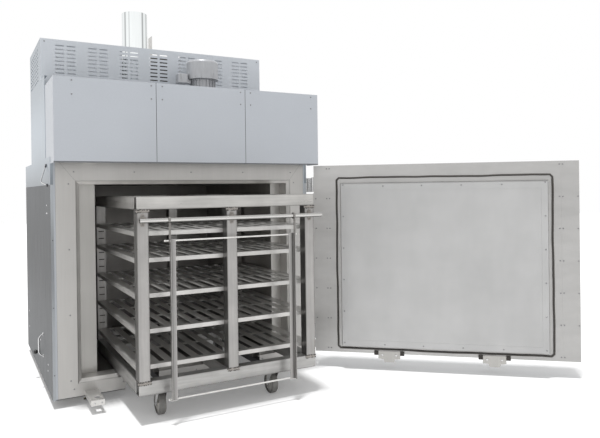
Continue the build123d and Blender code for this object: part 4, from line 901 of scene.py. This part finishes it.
def scattered(name, body, points, template, made, size=1.0, size_spread=0.0, seed=1):
    """One mesh of a template put on every (place, facing) point, riding on a body."""
    mesh = bpy.data.meshes.new(name + "_points")
    mesh.from_pydata([tuple(place) for place, way in points], [], [])
    way_attribute = mesh.attributes.new("facing", "FLOAT_VECTOR", "POINT")
    way_attribute.data.foreach_set("vector", [number for place, way in points for number in way])
    piece = bpy.data.objects.new(name, mesh)
    bpy.context.scene.collection.objects.link(piece)
    modifier = piece.modifiers.new("scatter", "NODES")
    modifier.node_group = scatter
    for title, value in (
        ("Template", templates[template]), ("Size", size), ("Size Spread", size_spread), ("Seed", seed),
        ("Finish", made),
    ):
        modifier[scatter_inputs[title]] = value
    tree_result = piece.evaluated_get(bpy.context.evaluated_depsgraph_get())
    finished_mesh = bpy.data.meshes.new_from_object(tree_result)
    piece.modifiers.clear()
    piece.data = finished_mesh
    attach(piece, body)
    return piece


add_template("round_head", [
    (0, 0), (0, 0.5), (0.12, 0.5), (0.26, 0.40), (0.34, 0.24), (0.34, 0.17), (0.22, 0.13), (0.22, 0),
], 12)
add_template("hex_head", [(0, 0), (0, 0.5), (0.30, 0.5), (0.36, 0.42), (0.36, 0)], 6)
add_template("bead", [(0, 0), (0, 0.5), (0.14, 0.44), (0.24, 0.26), (0.28, 0)], 8)
print("templates", list(templates))

# %% [markdown]
# The CAD model marks every screw with a plain hexagon. `lumps` finds them in the mesh as groups of joined
# faces, and gives each one's place, direction, height and width. The direction is that of the faces with
# the largest area.

# %% Places of the screws


def lumps(name):
    """Middle, direction, height and width of each separate lump of a node."""
    shape = bmesh.new()
    shape.from_mesh(nodes[name].data)
    bmesh.ops.remove_doubles(shape, verts=shape.verts, dist=same_point)
    taken = set()
    found = []
    for first in shape.faces:
        if first in taken:
            continue
        taken.add(first)
        lump = [first]
        for face in lump:
            neighbours = [other for line in face.edges for other in line.link_faces if other not in taken]
            for neighbour in dict.fromkeys(neighbours):
                taken.add(neighbour)
                lump.append(neighbour)
        areas = {}
        for face in lump:
            key = tuple(round(number, 2) for number in face.normal)
            areas[key] = areas.get(key, 0) + face.calc_area()
        way = Vector(max(areas, key=areas.get)).normalized()
        places = [point.co.copy() for face in lump for point in face.verts]
        middle = sum(places, Vector()) / len(places)
        reach = [place.dot(way) for place in places]
        wide = max((place - middle - way * (place - middle).dot(way)).length for place in places)
        found.append((middle, way, max(reach) - min(reach), 2 * wide))
    shape.free()
    return found


print("tool", lumps.__name__)

# %% [markdown]
# A screw points away from the sheet that it holds: to the front, to the left or right, or out of the open
# door's inner face. Round heads of grey zinc stand on the body and the door. Where the hexagons are tall,
# there are bright heads, round on the body and six-sided on the door.

# %% Screw heads
door_opening = 138.65
bolt_height = 0.005
door_angle = radians(180 + door_opening)
door_along = Vector((cos(door_angle), sin(door_angle), 0))
door_out = Vector((-sin(door_angle), cos(door_angle), 0))


def outward(place, way, on_door):
    """The way turned so that it points out of the sheet it stands on."""
    if on_door:
        right_way = way.dot(door_out) < 0
    elif abs(way.y) > 0.9:
        right_way = way.y < 0
    else:
        right_way = way.x * place.x > 0
    return way if right_way else -way


screw_groups = {}
for name, on_door in (("body_screws", False), ("door_screws", True)):
    for middle, way, high, wide in lumps(name):
        way = outward(middle, way, on_door)
        kind = "bolt" if high > bolt_height else "screw"
        screw_groups.setdefault((name, kind), []).append((middle - way * high / 2, way, wide))
screw_finishes = {
    ("body_screws", "bolt"): (bright_steel, "round_head", 0.7),
    ("body_screws", "screw"): (grey_zinc, "round_head", 0.72),
    ("door_screws", "screw"): (grey_zinc, "round_head", 0.9),
    ("door_screws", "bolt"): (bright_steel, "hex_head", 1.0),
}
for (name, kind), (made, template, share) in screw_finishes.items():
    marks = screw_groups[name, kind]
    wide = share * sum(mark[2] for mark in marks) / len(marks)
    points = [(place, way) for place, way, width in marks]
    heads = scattered(name + "_" + kind + "_heads", node_body[name], points, template, made, wide)
    if kind == "screw":
        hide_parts(name)
    print(name, kind, len(points), "wide", round(wide, 4))

# %% [markdown]
# The painted flange beside the frame is held by a few small dark screws that the CAD model leaves out.

# %% Flange screws
flange_screw_x = 1.063
flange_face = -0.110
flange_levels = [0.247 + step * 0.495 for step in range(3)]
to_front = Vector((0, -1, 0))
flange_screws = [
    (Vector((side * flange_screw_x, flange_face, z)), to_front) for side in (-1, 1) for z in flange_levels
]
scattered("flange_screws", "oven_body", flange_screws, "round_head", dark_zinc, size=0.008)
print("flange screws", len(flange_screws))

# %% [markdown]
# The posts are welded to the beams. A weld is a row of overlapping beads, uneven by hand, so a seeded
# random generator shifts each bead a little along the seam.

# %% Welds of the trolley
hand = Random(7)
weld_points = []
bead_pitch = 0.0055
bead_shake = 0.002
seam_levels = (posts_high.z, posts_low.z)
cart_left = posts_low.x
cart_right = posts_high.x


def seam(start, end, way):
    """Points of uneven beads from one end of a seam to the other."""
    start, end = Vector(start), Vector(end)
    count = max(2, int((end - start).length / bead_pitch))
    for step in range(count + 1):
        place = start.lerp(end, step / count)
        place += Vector([hand.uniform(-bead_shake, bead_shake) * (1 - abs(number)) for number in way])
        weld_points.append((place, Vector(way)))


pad_half = 0.046
pad_high = 0.020
pad_out = 0.003
bead_face = post_face - 0.001
seam_inset = 0.003
shape = bmesh.new()
for z in seam_levels:
    for x in post_columns:
        low, high = x - pad_half, min(x + pad_half, cart_right)
        block(shape, (low, high), (post_face - pad_out, post_face), (z - pad_high, z - 0.0005))
        for seam_z in (z - 0.002, z - pad_high + 0.001):
            seam((low, bead_face, seam_z), (high, bead_face, seam_z), (0, -1, 0))
finished("weld_pads", shape, weld_steel, "trolley", smooth=False)
for z in seam_levels:
    for y in (post_face, rear_low.y):
        for side, x in ((-1, cart_left), (1, cart_right)):
            seam((x, y + seam_inset, z), (x, y + post_size - seam_inset, z), (side, 0, 0))
scattered("post_welds", "trolley", weld_points, "bead", burnt_steel_and_shade, size=0.009, size_spread=0.4, seed=11)
print("beads", len(weld_points))

# %% [markdown]
# Two bolts with six-sided heads hold each flange of the push rail to its post.

# %% Bolts of the rail flanges
bolt_shift = 0.031
flange_bolts = [
    (Vector((x, post_face - flange_thick, rail_z + dz)), to_front)
    for x in post_columns for dz in (-bolt_shift, bolt_shift)
]
scattered("flange_bolts", "trolley", flange_bolts, "hex_head", ring_steel, size=0.013)
print("flange bolts", len(flange_bolts))

# %% [markdown]
# The door has its own directions: along it from the hinge edge, out of its inner face, and up. `door_point`
# turns a place given in them into one of the frame, for everything that is fixed to the open door.

# %% Places on the door
hinge_place = Vector((1.1254, -0.1426, 0))
door_origin = hinge_place + door_along * 0.0109 - door_out * 0.0176


def door_point(along, depth, height):
    """A point of the door: along from the hinge edge, depth in front of the inner face."""
    return door_origin + door_along * along - door_out * depth + Vector((0, 0, height))


print("door origin", door_origin)

# %% [markdown]
# The door's hinge-side edge has a narrow folded lip that hides the gap beside it. It is left out at the
# hinges, whose heights come from the faces of their brackets.

# %% Hinge-side lip
lip_wide = 0.009
lip_sheet = 0.0015
lip_margin = 0.012
lip_foot, lip_top = 0.170, 1.690


def height_spans(name):
    """The merged height ranges of a node's faces."""
    mesh = nodes[name].data
    spans = []
    for face in mesh.polygons:
        heights = [mesh.vertices[index].co.z for index in face.vertices]
        spans.append((min(heights), max(heights)))
    merged_spans = []
    for low, high in sorted(spans):
        if merged_spans and low <= merged_spans[-1][1] + 0.001:
            merged_spans[-1][1] = max(merged_spans[-1][1], high)
        else:
            merged_spans.append([low, high])
    return merged_spans


hinge_spans = height_spans("hinge_brackets")
lip_outline = [(-lip_wide, 0), (0.0, 0), (0.0, -lip_sheet), (-lip_wide, -lip_sheet)]
free_from = lip_foot
shape = bmesh.new()
for low, high in hinge_spans + [[lip_top + lip_margin, lip_top + lip_margin]]:
    free_to = min(low - lip_margin, lip_top)
    if free_to > free_from:
        outline = [door_point(along, depth, free_from) for along, depth in lip_outline]
        prism(shape, outline, (0, 0, free_to - free_from))
    free_from = max(free_from, high + lip_margin)
finished("hinge_lip", shape, door_steel, "door", smooth=False)
print("hinge spans", hinge_spans)

# %% [markdown]
# The door's gasket is a soft cord laid in a groove, a little flattened and never quite straight. Its path
# goes round the door's plug in the door's own directions and sways by a few waves of different length.

# %% Gasket
gasket_radius = 0.0073
gasket_spread = 1.1
gasket_sway = 0.0016
gasket_left, gasket_right = 0.2075, 2.0125
gasket_low, gasket_high = 0.1755, 1.6855
corner_round = 0.02
gasket_step = 0.02
sway_fade = 0.1


def sway(length, size):
    """A slow uneven wave along the gasket."""
    return size * (sin(5.1 * length) + 0.7 * sin(11.3 * length + 1.2) + 0.5 * sin(23.0 * length + 0.4))


corners = [
    (gasket_left, gasket_low), (gasket_right, gasket_low),
    (gasket_right, gasket_high), (gasket_left, gasket_high),
]
gasket_path = []
travelled = 0.0
for number, here in enumerate(corners):
    there = corners[(number + 1) % 4]
    way = Vector((there[0] - here[0], there[1] - here[1]))
    inward = Vector((-way.y, way.x)).normalized()
    long = way.length
    way.normalize()
    count = int((long - 2 * corner_round) / gasket_step)
    for step in range(count + 1):
        along = corner_round + (long - 2 * corner_round) * step / count
        fade = min(1.0, along / sway_fade, (long - along) / sway_fade)
        place = Vector(here) + way * along + inward * sway(travelled + along, gasket_sway) * fade
        gasket_path.append(door_point(place.x, gasket_radius, place.y))
    travelled += long
shape = bmesh.new()
gasket_radii = [gasket_radius] * len(gasket_path)
swept(shape, gasket_path, gasket_radii, 12, closed=True, flat=door_out, wide=gasket_spread)
gasket_cord = finished("gasket_cord", shape, rubber, "door")
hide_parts("door_gasket")
print("gasket points", len(gasket_path))

# %% [markdown]
# Beside each track plate sits a small rubber block with ribs, which closes the wheel track when the door is
# shut.

# %% Track seals
track_places = (1.5375, 0.6555)
seal_near, seal_far = 0.0953, 0.130
seal_low, seal_high = 0.126, 0.1627
rib_count = 4
rib_root, rib_crest, rib_slope = 0.0125, 0.0147, 0.002
shape = bmesh.new()
for along in track_places:
    for side in (-1, 1):
        near, far = along + side * seal_near, along + side * seal_far
        for rib in range(rib_count):
            low = seal_low + (seal_high - seal_low) * rib / rib_count
            high = low + (seal_high - seal_low) / rib_count
            outline = [
                (0, low), (rib_root, low), (rib_crest, low + rib_slope), (rib_crest, high - rib_slope),
                (rib_root, high), (0, high),
            ]
            start = [door_point(near, depth, height) for depth, height in outline]
            prism(shape, start, door_along * (far - near))
seal_blocks = finished("seal_blocks", shape, rubber, "door", smooth=False)
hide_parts("track_seals")
print("seal blocks", 2 * len(track_places))

# %% [markdown]
# The air inlet's knob is a black ball on a short neck with a low rib that shows how far it is turned.

# %% Knob
knob_low, knob_high = box_corners("inlet_knob")
knob_y = (knob_low.y + knob_high.y) / 2
knob_z = (knob_low.z + knob_high.z) / 2
wall_left = -1.075
ball_radius = 0.0185
ball_start = 0.0121
ball_steps = 13
rib_out = (wall_left - 0.0475, wall_left - 0.030)
rib_half_wide, rib_half_high = 0.002, 0.012
shape = bmesh.new()
profile = [(0.0003, 0), (0.0003, 0.0125), (0.0046, 0.0125), (0.0066, 0.009)]
for step in range(2, ball_steps):
    angle = pi - step * pi / ball_steps
    profile.append((ball_start + ball_radius * (1 + cos(angle)), ball_radius * sin(angle)))
profile.append((ball_start + 2 * ball_radius, 0))
turned(shape, profile, (wall_left, knob_y, knob_z), (-1, 0, 0), 28)
rib_wide = (knob_y - rib_half_wide, knob_y + rib_half_wide)
block(shape, rib_out, rib_wide, (knob_z - rib_half_high, knob_z + rib_half_high))
rod(shape, (wall_left, knob_y, knob_z), (knob_high.x, knob_y, knob_z), 0.005)
ball_knob = finished("ball_knob", shape, black_plastic, "inlet_valve_knob")
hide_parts("inlet_knob")
print("knob", knob_low, knob_high)

# %% [markdown]
# The bow handle low on the left side is one bent bar that swells in the middle, with a round foot at each
# end.

# %% Bow handle
bow_low, bow_high = box_corners("bow_handle")
bow_y = (bow_low.y + bow_high.y) / 2
foot_inset = 0.015
bow_foot = [(0, 0), (0, 0.014), (0.003, 0.014), (0.005, 0.010), (0.005, 0)]
bow_reach = 0.033
bow_root = 0.001
bow_thin, bow_swell = 0.0048, 0.0022
bow_steps = 24
shape = bmesh.new()
bow_path, bow_radii = [], []
for step in range(bow_steps + 1):
    share = step / bow_steps
    height = bow_low.z + foot_inset + (bow_high.z - bow_low.z - 2 * foot_inset) * share
    lift = min(1.0, 1.9 * sin(pi * share)) ** 0.6 if 0 < share < 1 else 0.0
    bow_path.append((wall_left - bow_root - bow_reach * lift, bow_y, height))
    bow_radii.append(bow_thin + bow_swell * sin(pi * share))
swept(shape, bow_path, bow_radii, 14)
for height in (bow_low.z + foot_inset, bow_high.z - foot_inset):
    turned(shape, bow_foot, (wall_left, bow_y, height), (-1, 0, 0), 20)
bow_bar = finished("bow_bar", shape, bright_steel, "oven_body")
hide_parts("bow_handle")
print("bow handle", bow_low, bow_high)

# %% [markdown]
# At both front corners a thin wire loop hangs between two dark bosses, with a crimped sleeve at each end.

# %% Wire loops
loop_points = ((0.103, 1.795, 0.004), (0.090, 1.670, 0.044), (0.046, 1.643, 0.004))
wire_radius = 0.0045
sleeve_radius = 0.0058
boss_radius = 0.012
boss_span = (0.0002, 0.009)
wires = bmesh.new()
bosses = bmesh.new()
for side in (-1, 1):
    face = side * abs(wall_left)
    top, bend, foot = (Vector((face + side * out, y, z)) for y, z, out in loop_points)
    before, after = top.lerp(bend, 0.85), bend.lerp(foot, 0.15)
    softened = (before + after) / 2 * 0.5 + bend * 0.5
    path = [top, top.lerp(bend, 0.15), before, softened, after, bend.lerp(foot, 0.85), foot]
    swept(wires, path, [wire_radius] * len(path), 10)
    for end, inner in ((top, path[1]), (foot, path[-2])):
        rod(bosses, end, end.lerp(inner, 0.9), sleeve_radius, 12)
        near, far = (Vector((face + side * out, end.y, end.z)) for out in boss_span)
        rod(bosses, near, far, boss_radius, 20, 0.002)
loop_wires = finished("loop_wires", wires, bright_steel, "oven_body")
finished("loop_bosses", bosses, dark_zinc, "oven_body")
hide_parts("lashing_loops")
print("wire loops", 2)

# %% [markdown]
# The damper in the exhaust pipe is a disc on a cross shaft. Outside the pipe a flat plate with a slanting
# top is fixed to the shaft, broad side to the front, and shows how far the damper is turned.

# %% Damper
damper_low, damper_high = box_corners("damper_flap")
damper_z = 2.850
plate_low = damper_high.x - 0.042
plate_top_z = damper_high.z - 0.035
disc_profile = [
    (-0.0015, 0), (-0.0015, 0.105), (-0.0005, 0.1065), (0.0005, 0.1065), (0.0015, 0.105), (0.0015, 0),
]
shape = bmesh.new()
rod(shape, (damper_low.x, pipe_axis[1], damper_z), (plate_low + 0.010, pipe_axis[1], damper_z), 0.007, 20)
turned(shape, disc_profile, (pipe_axis[0], pipe_axis[1], damper_z), (0, 1, 0), 48)
plate_outline = [
    (plate_low, damper_z - 0.016), (plate_low + 0.034, damper_z - 0.016), (plate_low + 0.034, plate_top_z),
    (plate_low, plate_top_z - 0.030),
]
prism(shape, [(x, pipe_axis[1] - 0.002, z) for x, z in plate_outline], (0, 0.004, 0))
damper_plate = finished("damper_plate", shape, keeper_steel, "damper")
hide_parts("damper_flap")
print("damper", damper_low, damper_high)

# %% [markdown]
# The left side sheet runs on forwards beside the enclosure, up to the return of the fascia. The CAD model
# leaves this strip open, so a folded plate closes it here.

# %% Closing plate
roof_level = 1.850
plate_gap = 0.0003
plate_span = (box_corners("fascia_returns")[1].y + plate_gap, box_corners("enclosure_front")[0].y - plate_gap)
plate_foot = roof_level + plate_gap
plate_top = 2.490
plate_sheet = 0.003
plate_fold = 0.020
shape = bmesh.new()
block(shape, (wall_left, wall_left + plate_sheet), plate_span, (plate_foot, plate_top))
fold_across = (wall_left + plate_sheet, wall_left + plate_fold)
block(shape, fold_across, plate_span, (plate_top - plate_sheet, plate_top))
finished("closing_plate", shape, side_paint, "oven_body", smooth=False)
print("closing plate", plate_span)

# %% [markdown]
# Through the louvres one sees pale walls on the left and right, and a dark gap round the exhaust pipe. Two
# housings of sheet metal with lids stand on the roof inside the enclosure, clear of the pipe and the
# damper, and folded dark sheets close the gap between them. The housings' paint is made near white as
# painted light, and the dark sheets are painted shade for the gap.

# %% Housings inside the enclosure
housing_foot = roof_level + 0.0005
housing_top = 2.820
housing_face = 0.530
housing_back = 1.200
housing_spans = [(-1.050, -0.400), (0.130, 0.840)]
lid_drop = 0.030
lid_reach = 0.003
# near-white paint, brighter than the oven's own, as painted light on the housings
lit_housing_paint = finish(
    "lit_housing_paint", (0.93, 0.95, 0.98), 0.5, grain=(90, 90, 90), contrast=0.02, clouds=0.02,
)
shape = bmesh.new()
for span in housing_spans:
    block(shape, span, (housing_face, housing_back), (housing_foot, housing_top - lid_drop))
finished("machine_housings", shape, lit_housing_paint, "oven_body", smooth=False)
shape = bmesh.new()
for left, right in housing_spans:
    lid_depth = (housing_face - lid_reach, housing_back + lid_reach)
    block(shape, (left - lid_reach, right + lid_reach), lid_depth, (housing_top - lid_drop, housing_top))
finished("housing_lids", shape, light_paint, "oven_body", smooth=False)
print("housings", len(housing_spans))

# %% [markdown]
# The dark gap is painted shade: a dark sheet on each side of the pipe, with folds along its foot and both of
# its upright edges.

# %% Painted shade sheets in the gap
gap_sheet = 0.002
gap_fold = 0.020


def folded_sheet(shape, x, y):
    """A standing sheet with a fold along its foot and both sides."""
    block(shape, x, (y, y + gap_sheet), (housing_foot, housing_top))
    block(shape, x, (y + gap_sheet, y + gap_fold), (housing_foot, housing_foot + gap_sheet))
    for edge in (x[0], x[1] - gap_sheet):
        block(shape, (edge, edge + gap_sheet), (y + gap_sheet, y + gap_fold), (housing_foot, housing_top))


shape = bmesh.new()
folded_sheet(shape, (-0.396, -0.116), 0.870)
folded_sheet(shape, (-0.115, 0.126), 0.640)
finished("gap_plate", shape, burnt_steel_and_shade, "oven_body", smooth=False)
print("gap sheets", 2)

# %% [markdown]
# The rear posts are closed tubes, in shade behind their slots. A dark strip in each is painted shade for
# that.

# %% Painted shade in the rear posts
core_half = 0.034
core_sheet = 0.002
core_front = rear_low.y + 0.036
core_rise = (rear_low.z + 0.01, rear_high.z - 0.01)
shape = bmesh.new()
for x in post_columns:
    block(shape, (x - core_half, x + core_half), (core_front, core_front + core_sheet), core_rise)
finished("post_cores", shape, burnt_steel_and_shade, "trolley", smooth=False)
print("post cores", len(post_columns))

# %% [markdown]
# The templates have done their work and leave the scene.

# %% Clear the templates
for template in templates.values():
    bpy.data.objects.remove(template)

# %% [markdown]
# The studio sky is plain white for straight, mirrored and transmitted rays, so that it is the background
# both behind the object and in its bright metal, and it is weaker for the light that it throws.

# %% Sky
sky_light = 0.62
world = bpy.data.worlds.new("studio_sky")
bpy.context.scene.world = world
world.use_nodes = True
sky_tree = world.node_tree
background = sky_tree.nodes["Background"]
background.inputs["Color"].default_value = (1, 1, 1, 1)


def seen_rays(tree, names):
    """The Light Path outputs of some kinds of ray, joined."""
    path = tree.nodes.new("ShaderNodeLightPath")
    total = path.outputs[names[0]]
    for name in names[1:]:
        total = maths(tree, "MAXIMUM", total, path.outputs[name])
    return total


seen = seen_rays(sky_tree, ("Is Camera Ray", "Is Glossy Ray", "Is Transmission Ray"))
strength = maths(sky_tree, "MULTIPLY_ADD", seen, 1 - sky_light, sky_light)
sky_tree.links.new(strength, background.inputs["Strength"])
print("sky", sky_light)

# %% [markdown]
# A sun almost straight overhead throws the trolley's shadow under it, as in the studio, and gives the same
# light all over the floor, where an area lamp would leave its far part grey. It leans a little to the
# right, so that the slots of the five shelves, one above the other, let no stripes through.

# %% Sun
sun_direction = Vector((0.09, 0.06, -1.0))
sun_data = bpy.data.lights.new("key_sun", "SUN")
sun_data.energy = 2.4
sun_data.angle = radians(5)
key_sun = bpy.data.objects.new("key_sun", sun_data)
bpy.context.scene.collection.objects.link(key_sun)
key_sun.rotation_euler = sun_direction.to_track_quat("-Z", "Y").to_euler()
print("key sun", sun_data.energy)

# %% [markdown]
# The floor has to keep the object's shadow and still be as white as the sky where no shadow falls. So its
# diffuse finish is lifted a little for straight and mirrored rays, which throws no light on the object.

# %% Floor
floor_lift = 0.16
bpy.ops.mesh.primitive_plane_add(size=60, location=(0, 0, -0.001))
floor = bpy.context.object
floor.name = "floor"
floor_finish = finish("floor_finish", (0.84, 0.84, 0.84), 0.7, grain=(0.5, 0.5, 0.5), contrast=0.01)
floor_tree = floor_finish.node_tree
floor_shader = floor_tree.nodes["Principled BSDF"]
floor_shader.inputs["Emission Color"].default_value = (1, 1, 1, 1)
floor_seen = seen_rays(floor_tree, ("Is Camera Ray", "Is Glossy Ray"))
floor_glow = maths(floor_tree, "MULTIPLY", floor_seen, floor_lift)
floor_tree.links.new(floor_glow, floor_shader.inputs["Emission Strength"])
floor.data.materials.append(floor_finish)

# %% [markdown]
# The camera stands at eye height, 4.9 m in front of the oven and to its left, and looks 29 degrees to the
# right. The picture is the lower part of what the lens sees, which the vertical shift gives.

# %% Camera
camera_place = (-1.6286, -4.855, 1.582)
camera_yaw = radians(29.08)
camera_pitch = radians(-0.18)
camera_roll = radians(-0.75)
camera_data = bpy.data.cameras.new("camera")
camera = bpy.data.objects.new("camera", camera_data)
bpy.context.scene.collection.objects.link(camera)
camera_data.sensor_width = 36
camera_data.lens = 36.305
camera_data.shift_y = -0.045
camera.matrix_world = (
    Matrix.Translation(camera_place) @ Matrix.Rotation(-camera_yaw, 4, "Z")
    @ Matrix.Rotation(radians(90) + camera_pitch, 4, "X") @ Matrix.Rotation(camera_roll, 4, "Z")
)
bpy.context.scene.camera = camera
bpy.context.scene.view_settings.view_transform = "Standard"
